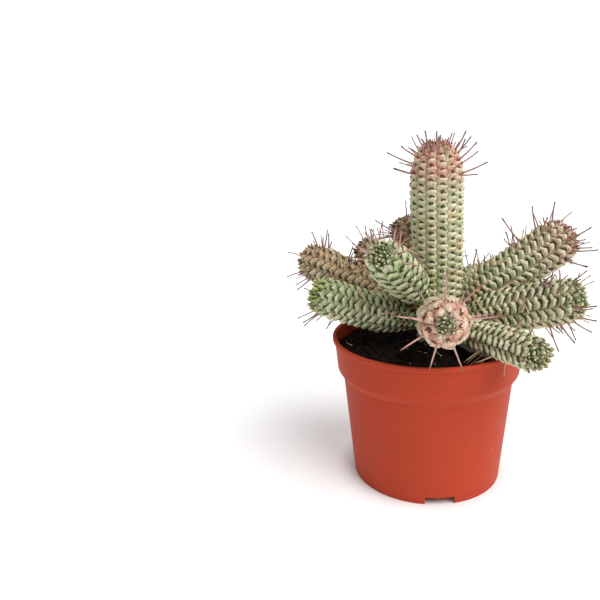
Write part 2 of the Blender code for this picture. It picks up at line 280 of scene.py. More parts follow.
# %% The main stem and the arms
SOIL_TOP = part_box("soil")[1].z
MAIN_FOOT = Vector((6.4 * MM, 8.0 * MM, SOIL_TOP))
MAIN_LEAN = 0.9
MAIN_LEAN_AZIMUTH = 180.0
MAIN_RADIUS = 16.0 * MM
MAIN_FOOT_RADIUS = 12.0 * MM
MAIN_SWELL_LENGTH = 50.0 * MM
MAIN_RIBS = 14
MAIN_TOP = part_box("main_stem")[1].z
MAIN_ROOT = 6.0 * MM  # how far the skin goes down into the soil

NECK_RADIUS = 4.4 * MM
NECK_END = 12.0 * MM
SWELL_END = 42.0 * MM
MAIN_DOME_SHARE = 1.85  # length of the rounded end, as a share of the radius
MAIN_DOME_POWER = 3.0  # its bluntness: 2 is an ellipse
DOME_SHARE = 1.05
DOME_POWER = 2.2
AXIS_PIECES = 24

Arm = namedtuple("Arm", "name height azimuth turn lift bend length radius ribs")
# height above the soil, length and radius in mm; the other four in degrees, as in the solids.
ARMS = (
    Arm("arm_right_upper", 14, 10.5, -8, 30, 8, 97, 14.2, 11),
    Arm("arm_right_middle", 9, -14, -12, 18.5, -1, 90.5, 13.6, 10),
    Arm("arm_right_lower", 5, -52, -4, 14.5, -14, 91.5, 9.8, 9),
    Arm("arm_front", 14, -87.5, 0, 18.5, -6, 86, 14.0, 9),
    Arm("arm_left_lower", 8, 205.5, -10, 18.5, 4, 86.5, 12.0, 10),
    Arm("arm_left_upper", 15, 171, -2, 22, -1, 98, 12.4, 10),
    Arm("arm_left_middle", 22, -124.5, 9, 36, 0, 79.5, 12.0, 10),
    Arm("arm_left_rear", 24, 158, 0, 31, 2, 64.5, 10.0, 9),
    Arm("arm_back_left", 24, 119.5, 0, 39.5, 12, 67, 10.8, 9),
    Arm("arm_back", 16, 87.5, 0, 20, 6, 75.5, 12.2, 10),
    Arm("arm_back_right", 9, 57, 4, 20, 4, 63, 11.0, 10),
)


def heading(azimuth, lift):
    """The unit vector along an azimuth and a lift above the horizon, in degrees."""
    a, e = math.radians(azimuth), math.radians(lift)
    return Vector((math.cos(a) * math.cos(e), math.sin(a) * math.cos(e), math.sin(e)))


def smooth_step(x):
    x = min(max(x, 0.0), 1.0)
    return x * x * (3.0 - 2.0 * x)


class Stem:
    """A stem's axis, girth and ribs, from numbers in metres and degrees."""

    def __init__(self, name, start, azimuth, turn, lift, bend, length, radius, ribs, reference):
        self.name, self.start = name, start
        self.azimuth, self.turn, self.lift, self.bend = azimuth, turn, lift, bend
        self.length, self.radius, self.ribs = length, radius, ribs
        self.reference = reference
        self.upright = name == "main_stem"
        self.dome_power = MAIN_DOME_POWER if self.upright else DOME_POWER
        self.dome_start = length - (MAIN_DOME_SHARE if self.upright else DOME_SHARE) * radius

    def direction(self, distance):
        share = distance / self.length
        return heading(self.azimuth + self.turn * share, self.lift + self.bend * share)

    def axis(self, distance):
        point = self.start.copy()
        for i in range(AXIS_PIECES):
            point += self.direction(distance * (i + 0.5) / AXIS_PIECES) * (distance / AXIS_PIECES)
        return point

    def body_radius(self, distance):
        if self.upright:
            share = smooth_step(distance / MAIN_SWELL_LENGTH)
            return MAIN_FOOT_RADIUS + (self.radius - MAIN_FOOT_RADIUS) * share
        share = smooth_step((distance - NECK_END) / (SWELL_END - NECK_END))
        return NECK_RADIUS + (self.radius - NECK_RADIUS) * share

    def girth(self, distance):
        into = min(max((distance - self.dome_start) / (self.length - self.dome_start), 0.0), 1.0)
        return self.body_radius(distance) * math.sqrt(max(1.0 - into**self.dome_power, 0.0))

    def sides(self, distance):
        """Two unit vectors square to the axis: towards the reference, and right-handed from it."""
        forward = self.direction(distance)
        first = (self.reference - forward * self.reference.dot(forward)).normalized()
        return first, forward.cross(first)

    def outward(self, distance, around):
        first, second = self.sides(distance)
        a = math.radians(around)
        return first * math.cos(a) + second * math.sin(a)


def make_stems():
    rise = heading(MAIN_LEAN_AZIMUTH, 90.0 - MAIN_LEAN)
    length = (MAIN_TOP - SOIL_TOP) / rise.z
    bends = (MAIN_LEAN_AZIMUTH, 0.0, 90.0 - MAIN_LEAN, 0.0)
    stems = [Stem("main_stem", MAIN_FOOT, *bends, length, MAIN_RADIUS, MAIN_RIBS, FRONT)]
    for arm in ARMS:
        start = MAIN_FOOT + rise * (arm.height * MM / rise.z)
        bends = (arm.azimuth, arm.turn, arm.lift, arm.bend)
        stems.append(Stem(arm.name, start, *bends, arm.length * MM, arm.radius * MM, arm.ribs, UP))
    return stems


stems = make_stems()
print(len(stems), "stems, the main one", round(stems[0].length / MM, 1), "mm long")

# %% [markdown]
# A stem's carrier is a line of points along its axis. Each point holds the girth there, and the number of
# tubercle rows up to it. The rows are counted along the surface, not along the axis, and they get shorter
# towards the growing point, where the tubercles are young. There are a fixed number of points in each row.

# %% The carrier line of a stem
ARM_PITCH = 4.6 * MM  # length of a row
# The main stem's rows are a little shorter, and those of two arms are much longer.
PITCHES = {"main_stem": 4.4 * MM, "arm_front": 8.4 * MM, "arm_left_middle": 7.0 * MM}
YOUNG_SHARE = 0.5  # of the full pitch, at the growing point
YOUNG_REACH = 12.0 * MM  # from the growing point, where the tubercles have their full pitch
POINTS_PER_ROW = 8
FINE_STEPS = 1500


def surface_walk(stem):
    """(distance, girth, rows so far) in fine steps along a stem's surface."""
    first = -MAIN_ROOT if stem.upright else 0.0
    pitch = PITCHES.get(stem.name, ARM_PITCH)
    body_length, dome_length = stem.dome_start - first, stem.length - stem.dome_start
    spots = [first + body_length * i / FINE_STEPS for i in range(FINE_STEPS)]
    for i in range(FINE_STEPS + 1):
        spots.append(stem.dome_start + dome_length * math.sin(0.5 * math.pi * i / FINE_STEPS))
    total = 0.0
    reach = [0.0]
    girths = [stem.girth(spot) for spot in spots]
    for before, after, low, high in zip(spots, spots[1:], girths, girths[1:]):
        total += math.hypot(after - before, high - low)
        reach.append(total)
    rows, walk = 0.0, []
    for i, (spot, girth) in enumerate(zip(spots, girths)):
        if i > 0:
            left = total - reach[i]
            share = YOUNG_SHARE + (1.0 - YOUNG_SHARE) * smooth_step(left / YOUNG_REACH)
            rows += (reach[i] - reach[i - 1]) / (pitch * share)
        walk.append((spot, girth, rows))
    return walk


def stem_line(stem):
    """A mesh of points and edges along the axis, with the girth, the rows and the way to the tip."""
    walk = surface_walk(stem)
    chosen, following = [walk[0]], 0.0
    for spot, girth, rows in walk[1:-1]:
        if rows >= following + 1.0 / POINTS_PER_ROW:
            following = rows
            chosen.append((spot, girth, rows))
    chosen.append(walk[-1])
    points = [stem.axis(spot) for spot, _, _ in chosen]
    edges = [(i, i + 1) for i in range(len(points) - 1)]
    line = bpy.data.meshes.new(stem.name + "_line")
    line.from_pydata(points, edges, [])
    girths = [0.0] + [girth for _, girth, _ in chosen[1:-1]] + [0.0]
    values = {
        "girth": girths,
        "rows": [rows for _, _, rows in chosen],
        "to_tip": [stem.length - spot for spot, _, _ in chosen],
    }
    for name, numbers in values.items():
        line.attributes.new(name, "FLOAT", "POINT").data.foreach_set("value", numbers)
    return line


print("rows on the main stem:", round(surface_walk(stems[0])[-1][2], 1))

# %% [markdown]
# ## The tubercles
# The skin is divided into ribs, and each rib into tubercles, which are low cushions in rows. They sit in a
# spiral, so that neighbouring ribs are about half a row apart and interlock like the grains of a corn cob.
# One function turns the two skin coordinates, ribs around and spiral rows along, into the place within one
# tubercle. The geometry and the material both call it, so that colours stay on their bumps.

# %% The pattern of tubercles
Tubercle = namedtuple("Tubercle", "across up aside chance second")


def tubercle_at(tree, ribs_around, spiral_rows):
    """Where a point lies in its tubercle. across is -0.5 to 0.5, aside is 0 at the middle and 1 at the edge,
    and up is 0 to 1 towards the tip. chance and second are two random numbers that each tubercle keeps."""
    rib = ribs_around.maths("FLOOR")
    across = ribs_around - rib - 0.5
    rows = spiral_rows - across * 0.5
    row = rows.maths("FLOOR")
    up = rows - row
    spot = output(add_node(tree, "ShaderNodeCombineXYZ", X=rib, Y=row))
    dice = add_node(tree, "ShaderNodeTexWhiteNoise", {"noise_dimensions": "2D"}, Vector=spot)
    more = add_node(tree, "ShaderNodeSeparateXYZ", Vector=output(dice, "Color"))
    return Tubercle(across, up, abs(across) * 2.0, output(dice, "Value"), output(more, "Y"))


print("tubercle fields:", ", ".join(Tubercle._fields))

# %% [markdown]
# ## The skin of a stem
# The skin could be a lathe shape with a bump map, but the cushions are high enough to show in its outline. So
# the tree sweeps a circle along the axis, scales it by the girth, and moves each point out by the height of
# its tubercle. A tubercle leans out towards its upper end and drops steeply into the crevice behind it. The
# grooves between the ribs zigzag, because each tubercle bulges into the gaps of its neighbours. The arms'
# tubercles have more of a scallop than the main stem's, whose rows are almost level.
# The circle is an arc of a full turn, because its first and last points then keep their own coordinates when
# the seam is welded.

# %% The tree that makes a skin
COLUMNS_PER_RIB = 10
WELD = 0.02 * MM
SIDE_WOBBLE = 0.35  # of a rib's width, by which its grooves wander
ROW_WOBBLE = 0.9  # of a row, by which the rows wander
TOOTH_OVERLAP = 0.5  # of a tooth's height that lies within the solid's outline
ROUGHNESS = 0.5 * MM


def skin_tree(name, curve_mode):
    shares = ("Tooth Width", "Tooth Drop", "Zigzag", "Scallop")
    sizes = ("Full Girth", "Rib Depth", "Tooth Height", "Crevice Depth")
    counts = {"Ribs": "Int", "Rows in a Spiral": "Int"}
    numbers = dict.fromkeys((*sizes, *shares), "Float")
    tree, given = new_tree(name, {**counts, **numbers, "Material": "Material"})
    line = add_node(tree, "GeometryNodeMeshToCurve", Mesh=given["Geometry"])
    axis = add_node(tree, "GeometryNodeSetCurveNormal", {"mode": curve_mode}, Curve=output(line))
    columns = given["Ribs"] * COLUMNS_PER_RIB + 1
    full_turn = {"Radius": 1.0, "Start_Angle": 0.0, "Sweep_Angle": 2.0 * math.pi}
    arc = add_node(tree, "GeometryNodeCurveArc", Resolution=columns, **full_turn)
    factor = output(tree.nodes.new("GeometryNodeSplineParameter"), "Factor")
    circle = add_node(
        tree, "GeometryNodeStoreNamedAttribute", Geometry=output(arc), Name="turn", Value=factor
    )
    turn, girth, rows, to_tip = (
        output(add_node(tree, "GeometryNodeInputNamedAttribute", Name=name))
        for name in ("turn", "girth", "rows", "to_tip")
    )
    depth = (girth / given["Full Girth"]).step(0.1, 0.75)
    inner = girth - given["Rib Depth"] * (girth / given["Full Girth"])
    tube = add_node(
        tree, "GeometryNodeCurveToMesh", Curve=output(axis), Profile_Curve=output(circle), Scale=inner
    )
    ribs = turn * given["Ribs"]
    spiral = rows + ribs * given["Rows in a Spiral"] / given["Ribs"]
    from_seam = ribs.maths("MINIMUM", ribs * -1.0 + given["Ribs"]).maths("MINIMUM", 1.0)
    place = output(tree.nodes.new("GeometryNodeInputPosition"))
    unevenness = clouds(tree, place, 190.0, 3.0) - 0.5
    sway = (spiral * (2.0 * math.pi)).maths("COSINE") * given["Zigzag"] + unevenness * SIDE_WOBBLE
    around = ribs - sway * from_seam
    aside = abs(around.maths("FRACT") - 0.5) * 2.0
    bow = (1.0 - aside**1.4) * given["Scallop"]
    along = rows + around * given["Rows in a Spiral"] / given["Ribs"] - bow + unevenness * ROW_WOBBLE
    spot = tubercle_at(tree, around, along)
    cushion = (1.0 - spot.aside**2.4) * given["Rib Depth"]
    fall = ((1.0 - spot.up) / given["Tooth Drop"]).step(0.0, 1.0)
    narrow = (spot.aside / given["Tooth Width"]).maths("MINIMUM", 1.0)
    tooth = spot.up.step(0.05, 0.65) * fall * (1.0 - narrow**1.8) - TOOTH_OVERLAP
    valley = (spot.up.step(0.94, 1.0) + spot.up.step(0.16, 0.0)).maths("MINIMUM", 1.0)
    crevice = valley * given["Crevice Depth"] * (1.0 - spot.aside**3.0 * 0.6)
    varied = 0.55 + spot.chance * 0.9
    roughness = (clouds(tree, place, 420.0, 2.0) - 0.5) * (ROUGHNESS * 2.0)
    height = (cushion + tooth * given["Tooth Height"] * varied - crevice + roughness) * depth
    normal = output(tree.nodes.new("GeometryNodeInputNormal"))
    push = add_node(tree, "ShaderNodeVectorMath", {"operation": "SCALE"}, Vector=normal, Scale=height)
    bumpy = add_node(tree, "GeometryNodeSetPosition", Geometry=output(tube), Offset=output(push))
    coordinates = add_node(tree, "ShaderNodeCombineXYZ", X=around, Y=along, Z=to_tip)
    marked = add_node(
        tree,
        "GeometryNodeStoreNamedAttribute",
        {"data_type": "FLOAT_VECTOR", "domain": "CORNER"},
        Geometry=output(bumpy),
        Name="skin_place",
        Value=output(coordinates),
    )
    welded = add_node(tree, "GeometryNodeMergeByDistance", Geometry=output(marked), Distance=WELD)
    smooth = add_node(tree, "GeometryNodeSetShadeSmooth", Geometry=output(welded))
    close_tree(tree, output(smooth), given["Material"])
    return tree


upright_tree = skin_tree("upright_skin", "MINIMUM_TWIST")
arm_tree = skin_tree("arm_skin", "Z_UP")
print("skin tree:", len(arm_tree.nodes), "nodes")

# %% [markdown]
# ## The finish of the skin
# The skin is pale cream and grey-green, with thin brown lines between the ribs, a small scar at the head of
# each tubercle where its leaf fell, a pink flush near the growing end, and straw and cork colours low down.
# Light and shade are painted on it too: painted shade in dark green, or red near the growing end, in and
# round the crevices, on the arms' lower ends and under the leaflets, and a painted highlight on the
# tubercles' heads. All of it could be painted on an image, but formulas on the skin's own coordinates stay
# sharp at every distance.


# %% Colour helpers
def mixed(tree, share, first, second):
    """first where share is 0 and second where it is 1. Each is a colour or a wire."""
    node = tree.nodes.new("ShaderNodeMix")
    node.data_type = "RGBA"
    sockets = [s for s in node.inputs if s.enabled]
    for socket, value in zip(sockets, (share, first, second)):
        plug(tree, socket, value)
    return Wire(tree, next(s for s in node.outputs if s.enabled))


def colour(red, green, blue):
    """A display colour, 0 to 255, as the linear one that a shader takes."""
    linear = []
    for value in (red, green, blue):
        c = value / 255.0
        linear.append(c / 12.92 if c <= 0.04045 else ((c + 0.055) / 1.055) ** 2.4)
    return (*linear, 1.0)


def new_material(name):
    """A material with its tree, its shader, and its object coordinates."""
    material = bpy.data.materials.new(name)
    material.use_nodes = True
    tree = material.node_tree
    place = Wire(tree, tree.nodes.new("ShaderNodeTexCoord").outputs["Object"])
    return material, tree, tree.nodes["Principled BSDF"], place


def relief(tree, height, depth, strength=1.0):
    """The normal of a surface with a height field on it, depth metres deep."""
    return output(add_node(tree, "ShaderNodeBump", Height=height, Distance=depth, Strength=strength))


def attribute(tree, name, kind="Fac"):
    return output(add_node(tree, "ShaderNodeAttribute", {"attribute_name": name}), kind)


CREAM = colour(236, 226, 190)
print("cream of the skin, linear:", [round(c, 3) for c in CREAM])

# %% [markdown]
# The skin of a real stem is laid down in layers: first a cream and leaf-green mottle, then straw and cork on
# old parts, a pink flush on young ones, and last specks, dust and leaf scars. The material mixes its colours
# in the same order, with painted light and shade among them: painted shade, darker green, on the arms' lower
# ends, a painted highlight on the tubercles' heads, painted shade round and in the crevices, and painted
# shade, dark green, under the leaflets. Each kind of stem has its own amounts of them, so one function makes
# them all.

# %% The material of the skin
GREY_CREAM = colour(206, 210, 172)
DARK_LEAF, LIGHT_LEAF = colour(100, 136, 70), colour(166, 190, 118)
FOOT_PAINTED_SHADE_GREEN = colour(88, 108, 56)  # painted shade, darker green, on the arms' lower ends near the main stem
STRAW, CORK = colour(208, 156, 80), colour(184, 134, 92)
FLUSH_PINK = colour(214, 140, 124)
PAINTED_HIGHLIGHT_CREAM = colour(246, 240, 206)  # painted highlight on the tubercles' heads
GREEN_CREVICE_EDGE_SHADE, ROSY_CREVICE_EDGE_SHADE = colour(108, 132, 72), colour(176, 120, 98)  # painted shade round the crevices, green, or rosy near the growing end
GREEN_SPECK_AND_SHADE, RED_SPECK_AND_SHADE = colour(34, 50, 20), colour(88, 38, 28)  # of the dark specks, and of the painted shade in the crevices
GROOVE_BROWN = colour(104, 88, 56)
SKIN_DUST = colour(238, 232, 212)
SCAR_TAN = colour(196, 162, 122)
# painted shade, dark green, on the skin under the leaflets
LEAFLET_PAINTED_SHADE = colour(66, 74, 38)
FLUSH_REACH = 34.0 * MM  # of the pink, from the growing end
SKIN_GLOW = (0.9, 0.7, 0.35)  # how far red, green and blue light spread in the flesh, as shares
SKIN_GLOW_REACH = 0.8 * MM

Finish = namedtuple("Finish", "rosy green brown foot crown mouth head")
# rosy, green and brown, 0 to 1, are how much of each colour the skin has, and foot is how much painted shade,
# darker green, its lower end gets. crown is how far from the growing point the painted shade, dark green
# under the leaflets, goes, in mm, mouth is the share of a rib's width that the painted shade in a tubercle's
# crevice takes, and head is where in a tubercle the crevice of the next one starts.


def make_skin_material(name, finish):
    material, tree, shader, place = new_material(name)
    split = add_node(tree, "ShaderNodeSeparateXYZ", Vector=attribute(tree, "skin_place", "Vector"))
    around, along, to_tip = (Wire(tree, split.outputs[axis]) for axis in "XYZ")
    spot = tubercle_at(tree, around, along)
    broad = clouds(tree, place, 42.0, 2.0)
    patches = clouds(tree, place, 130.0, 3.0)
    grain = clouds(tree, place, 520.0, 4.0, 0.65)
    cream = mixed(tree, patches.step(0.35, 0.65), CREAM, GREY_CREAM)
    leafy = mixed(tree, grain.step(0.4, 0.6), DARK_LEAF, LIGHT_LEAF)
    greening = (broad * 0.5 + patches * 0.3 + spot.second * 0.14 + finish.green * 0.2).step(0.44, 0.72)
    fresh = mixed(tree, greening * 0.8, cream, leafy)
    # Painted shade: the arms' lower ends are darkened to green, near the main stem.
    foot_painted_shade = to_tip.step(0.040, 0.080) * (0.4 + 0.6 * patches.step(0.4, 0.6)) * finish.foot
    base = mixed(tree, foot_painted_shade, fresh, FOOT_PAINTED_SHADE_GREEN)
    yellowed = clouds(tree, place, 95.0, 3.0).step(0.54, 0.66) * to_tip.step(0.02, 0.07) * 0.75
    straw = mixed(tree, yellowed, base, STRAW)
    corky = mixed(tree, broad.step(0.62, 0.44) * finish.brown, straw, CORK)
    flush = to_tip.step(FLUSH_REACH, 0.010) * (0.25 + 0.75 * patches.step(0.35, 0.6)) * finish.rosy
    pinked = mixed(tree, flush, corky, FLUSH_PINK)
    # Painted highlight: the upper part of each tubercle is lightened to cream.
    painted_highlight = mixed(tree, spot.up.step(0.4, 0.8) * (1.0 - spot.aside) * 0.55, pinked, PAINTED_HIGHLIGHT_CREAM)
    near_tip = to_tip.step(0.036, 0.014) * finish.rosy
    # Painted shade: a soft darkening round each crevice, green, or rosy near the growing end.
    halo_colour = mixed(tree, near_tip, GREEN_CREVICE_EDGE_SHADE, ROSY_CREVICE_EDGE_SHADE)
    halo_width = spot.aside.step(finish.mouth + 0.4, finish.mouth - 0.3)
    painted_halo_shade = (spot.up.step(0.62, 0.1) + spot.up.step(0.86, 1.0) * 0.5) * halo_width
    haloed = mixed(tree, painted_halo_shade * (0.35 + grain * 0.7), painted_highlight, halo_colour)
    groove = spot.aside.step(0.82, 0.97) * (0.5 + 0.5 * grain.step(0.35, 0.6))
    lined = mixed(tree, groove * 0.65, haloed, GROOVE_BROWN)
    # The colour of the dark specks, and of the painted shade in the crevices.
    speck_and_shade = mixed(tree, near_tip, GREEN_SPECK_AND_SHADE, RED_SPECK_AND_SHADE)
    # Painted shade: the crevice behind each tubercle's head is darkened.
    mouth = (spot.up.step(0.32, 0.04) + spot.up.step(finish.head, 0.99)).maths("MINIMUM", 1.0)
    open_width = spot.aside.step(finish.mouth + 0.25, finish.mouth - 0.2)
    dark = (mouth * open_width * (0.5 + grain * 0.9 + spot.chance * 0.3 + near_tip * 0.4)).step(0.34, 0.66)
    specks = clouds(tree, place, 1000.0, 3.0, 0.7)
    specked = mixed(tree, specks.step(0.53, 0.66) * 0.6, lined, speck_and_shade)
    dusted = mixed(tree, specks.step(0.46, 0.34) * 0.5, specked, SKIN_DUST)
    # The painted shade goes into the crevices.
    marked = mixed(tree, dark * 0.92, dusted, speck_and_shade)
    reach = ((spot.across * 1.4) ** 2.0 + (spot.up - 0.93) ** 2.0).maths("SQRT")
    scar = reach.step(0.11, 0.06) * spot.second.step(0.3, 0.6)
    scarred = mixed(tree, scar * 0.75, marked, SCAR_TAN)
    # Painted shade: the skin under the leaflets, near the growing point, is darkened to green.
    under = to_tip.step(finish.crown * MM, finish.crown * 0.3 * MM) * (0.5 + 0.5 * grain.step(0.4, 0.6))
    crowned = mixed(tree, under, scarred, LEAFLET_PAINTED_SHADE)
    plug(tree, shader.inputs["Base Color"], crowned)
    plug(tree, shader.inputs["Roughness"], 0.50 + grain * 0.25)
    shader.inputs["Subsurface Weight"].default_value = 0.06
    shader.inputs["Subsurface Radius"].default_value = SKIN_GLOW
    shader.inputs["Subsurface Scale"].default_value = SKIN_GLOW_REACH
    height = grain * 0.7 + patches * 0.3 - dark * 0.6 - groove * 0.4
    plug(tree, shader.inputs["Normal"], relief(tree, height, 0.8 * MM, 0.8))
    return material


FINISHES = {
    "main": Finish(rosy=1.0, green=0.12, brown=0.0, foot=0.0, crown=1.4, mouth=0.50, head=0.84),
    "upper": Finish(rosy=0.5, green=0.0, brown=0.0, foot=0.4, crown=0.8, mouth=0.80, head=0.88),
    "pale": Finish(rosy=0.1, green=0.2, brown=0.1, foot=0.5, crown=5.5, mouth=0.90, head=0.92),
    "front": Finish(rosy=0.9, green=0.0, brown=0.0, foot=0.0, crown=1.9, mouth=0.55, head=0.97),
    "green": Finish(rosy=0.0, green=0.7, brown=0.0, foot=0.6, crown=4.0, mouth=0.90, head=0.92),
    "brown": Finish(rosy=0.2, green=0.3, brown=0.85, foot=0.3, crown=3.5, mouth=0.85, head=0.88),
}
skin_materials = {name: make_skin_material("skin_" + name, kind) for name, kind in FINISHES.items()}
print("skin materials:", ", ".join(skin_materials))

# %% [markdown]
# Each stem now gets its skin. Two of the arms on the left are the greenest, and three at the left and the
# back are brown and corky in patches.

# %% Grow the skins
# Lengths in mm. The drop and the scallop are shares of a row, and the width and the zigzag of a rib.
MAIN_RELIEF = {"Rib Depth": 1.1, "Tooth Height": 1.2, "Crevice Depth": 0.15}
MAIN_RELIEF_SHARES = {"Tooth Width": 0.72, "Tooth Drop": 0.16, "Zigzag": 0.08, "Scallop": 0.1}
ARM_RELIEF = {"Rib Depth": 1.1, "Tooth Height": 1.5, "Crevice Depth": 0.1}
ARM_RELIEF_SHARES = {"Tooth Width": 0.88, "Tooth Drop": 0.17, "Zigzag": 0.14, "Scallop": 0.42}
STEM_FINISHES = {
    "main_stem": "main",
    "arm_right_upper": "upper",
    "arm_front": "front",
    "arm_left_lower": "green",
    "arm_left_middle": "green",
    "arm_left_upper": "brown",
    "arm_left_rear": "brown",
    "arm_back_left": "brown",
}


def finish_of(stem):
    return STEM_FINISHES.get(stem.name, "pale")


def make_skin(stem):
    values = {
        "Ribs": stem.ribs,
        "Rows in a Spiral": stem.ribs // 2,
        "Full Girth": stem.radius,
        "Material": skin_materials[finish_of(stem)],
    }
    values.update(MAIN_RELIEF_SHARES if stem.upright else ARM_RELIEF_SHARES)
    for label, size in (MAIN_RELIEF if stem.upright else ARM_RELIEF).items():
        values[label] = size * MM
    tree = upright_tree if stem.upright else arm_tree
    return grown("skin_" + stem.name, tree, stem_line(stem), values)


for stem in stems:
    join_frame(make_skin(stem), "stem_skin", stem.name)

# %% [markdown]
# ## Planting small things
# Leaflets, flower stalks, crumbs and grit are all one shape, repeated with its own place, direction and size
# each time. Placing copies by hand is slow, and copies as objects would be lost on export. So one tree plants
# a shape on the points of a carrier mesh. Each point holds the direction that the copy stands in, a direction
# that it bends towards, and its length and width.

# %% The tree that plants copies
Spot = namedtuple("Spot", "place stand bend length width")


def planting_tree():
    inputs = {"Shape": "Object", "Least Size": "Float", "Most Size": "Float", "Seed": "Int"}
    tree, given = new_tree("planted_copies", {**inputs, "Material": "Material"})
    shape = add_node(tree, "GeometryNodeObjectInfo", Object=given["Shape"])
    vector = {"data_type": "FLOAT_VECTOR"}
    stand, bend, size = (
        output(add_node(tree, "GeometryNodeInputNamedAttribute", vector, Name=name))
        for name in ("stand", "bend", "size")
    )
    axes = {"primary_axis": "Z", "secondary_axis": "X"}
    facing = add_node(tree, "FunctionNodeAxesToRotation", axes, Primary_Axis=stand, Secondary_Axis=bend)
    span = {"Min": given["Least Size"], "Max": given["Most Size"], "Seed": given["Seed"]}
    dice = add_node(tree, "FunctionNodeRandomValue", {"data_type": "FLOAT"}, **span)
    scale = add_node(tree, "ShaderNodeVectorMath", {"operation": "SCALE"}, Vector=size, Scale=output(dice))
    copies = add_node(
        tree,
        "GeometryNodeInstanceOnPoints",
        Points=given["Geometry"],
        Instance=output(shape, "Geometry"),
        Rotation=output(facing),
        Scale=output(scale),
    )
    close_tree(tree, output(copies), given["Material"])
    return tree


copies_tree = planting_tree()


def planted(name, shape, spots, material, seed, least=0.9, most=1.1):
    """One mesh object of copies of a shape on spots. The shape is one unit long and one unit wide."""
    carrier = bpy.data.meshes.new(name + "_spots")
    carrier.from_pydata([spot.place for spot in spots], [], [])
    values = {
        "stand": [spot.stand for spot in spots],
        "bend": [spot.bend for spot in spots],
        "size": [Vector((spot.width, spot.width, spot.length)) for spot in spots],
    }
    for label, vectors in values.items():
        numbers = [number for vector in vectors for number in vector]
        carrier.attributes.new(label, "FLOAT_VECTOR", "POINT").data.foreach_set("vector", numbers)
    sizes = {"Least Size": least, "Most Size": most}
    return grown(name, copies_tree, carrier, {"Shape": shape, **sizes, "Seed": seed, "Material": material})


def oval(sides, thick, wide, shift, height):
    """A ring of points, thick along X and wide along Y, moved by shift along X."""
    angles = [2.0 * math.pi * k / sides for k in range(sides)]
    return [Vector((shift + thick * math.cos(a), wide * math.sin(a), height)) for a in angles]


def pattern_shape(name, rings):
    """An object to copy, skinned over rings of points. It keeps each point's height for its material."""
    mesh = mesh_of(name, skinned(rings))
    reach = [vertex.co.z for vertex in mesh.vertices]
    mesh.attributes.new("up_piece", "FLOAT", "POINT").data.foreach_set("value", reach)
    mesh.shade_smooth()
    return bpy.data.objects.new(name, mesh)


print("planting tree:", len(copies_tree.nodes), "nodes")

# %% [markdown]
# ## The crowns of leaflets
# At its growing point each stem still has its youngest leaves, which are small fleshy scales around the tip.
# They follow the rule of most growing points: each one is turned by the golden angle from the last, and lies
# a little further out. Their distance grows as the square root of their number, so they fill the crown
# evenly.

# %% The leaflets
GOLDEN_ANGLE = 137.508
LEAFLET_SIDES = 6
LEAFLET_RINGS = 4

Crown = namedtuple("Crown", "count spread length width kind")  # spread, length and width in mm
CROWNS = {
    "main_stem": Crown(50, 9.5, 2.4, 1.1, "rosy"),
    "arm_right_upper": Crown(96, 12.8, 2.5, 1.3, "rosy"),
    "arm_right_middle": Crown(84, 12.0, 2.7, 1.9, "green"),
    "arm_right_lower": Crown(66, 9.3, 2.9, 1.9, "green"),
    "arm_front": Crown(24, 5.4, 2.8, 1.7, "green"),
    "arm_left_lower": Crown(70, 10.6, 3.0, 1.5, "yellow"),
    "arm_left_upper": Crown(50, 10.0, 2.6, 1.5, "brown"),
    "arm_left_middle": Crown(48, 8.0, 2.8, 1.7, "green"),
    "arm_left_rear": Crown(46, 8.6, 2.6, 1.4, "brown"),
    "arm_back_left": Crown(60, 9.6, 2.8, 1.4, "brown"),
    "arm_back": Crown(60, 10.5, 2.6, 1.5, "green"),
    "arm_back_right": Crown(60, 10.0, 2.6, 1.5, "green"),
}
JITTER = 0.7 * MM  # by which a leaflet is off its place
LEAFLET_SINK = 0.4 * MM  # of its foot, under the skin
# The colours of a leaflet's foot, middle and tip.
LEAFLET_COLOURS = {
    "rosy": ((96, 60, 44), (180, 116, 102), (210, 150, 140)),
    "green": ((58, 78, 32), (156, 168, 112), (246, 240, 214)),
    "yellow": ((72, 92, 38), (152, 174, 86), (204, 212, 132)),
    "brown": ((62, 48, 34), (128, 106, 76), (168, 130, 108)),
}


def any_direction(dice):
    return Vector((dice.gauss(0.0, 1.0), dice.gauss(0.0, 1.0), dice.gauss(0.0, 1.0))).normalized()


def leaflet_rings():
    """A blunt fleshy scale that bends inwards a little."""
    rings = [[Vector((0.0, 0.0, -0.3))]]
    for i in range(LEAFLET_RINGS):
        t = i / (LEAFLET_RINGS - 1)
        wide = 0.5 * (0.8 + 0.45 * math.sin(math.pi * t) - 0.42 * t * t)
        rings.append(oval(LEAFLET_SIDES, 0.62 * wide, wide, 0.2 * t * t, 0.9 * t - 0.1))
    rings.append([Vector((0.2, 0.0, 0.95))])
    return rings


def surface_spot(stem, reach, around):
    """Where a stem's rounded end is at a reach from its axis: the point, its normal and the way forward."""
    share = min(reach / stem.radius, 0.999)
    power, dome = stem.dome_power, stem.length - stem.dome_start
    into = (1.0 - share * share) ** (1.0 / power)
    distance = stem.dome_start + into * dome
    out, forward = stem.outward(distance, around), stem.direction(distance)
    slope = 0.5 * power * into ** (power - 1.0) / math.sqrt(1.0 - into**power) * stem.radius / dome
    normal = (out + forward * slope).normalized()
    return stem.axis(distance) + out * reach, normal, forward


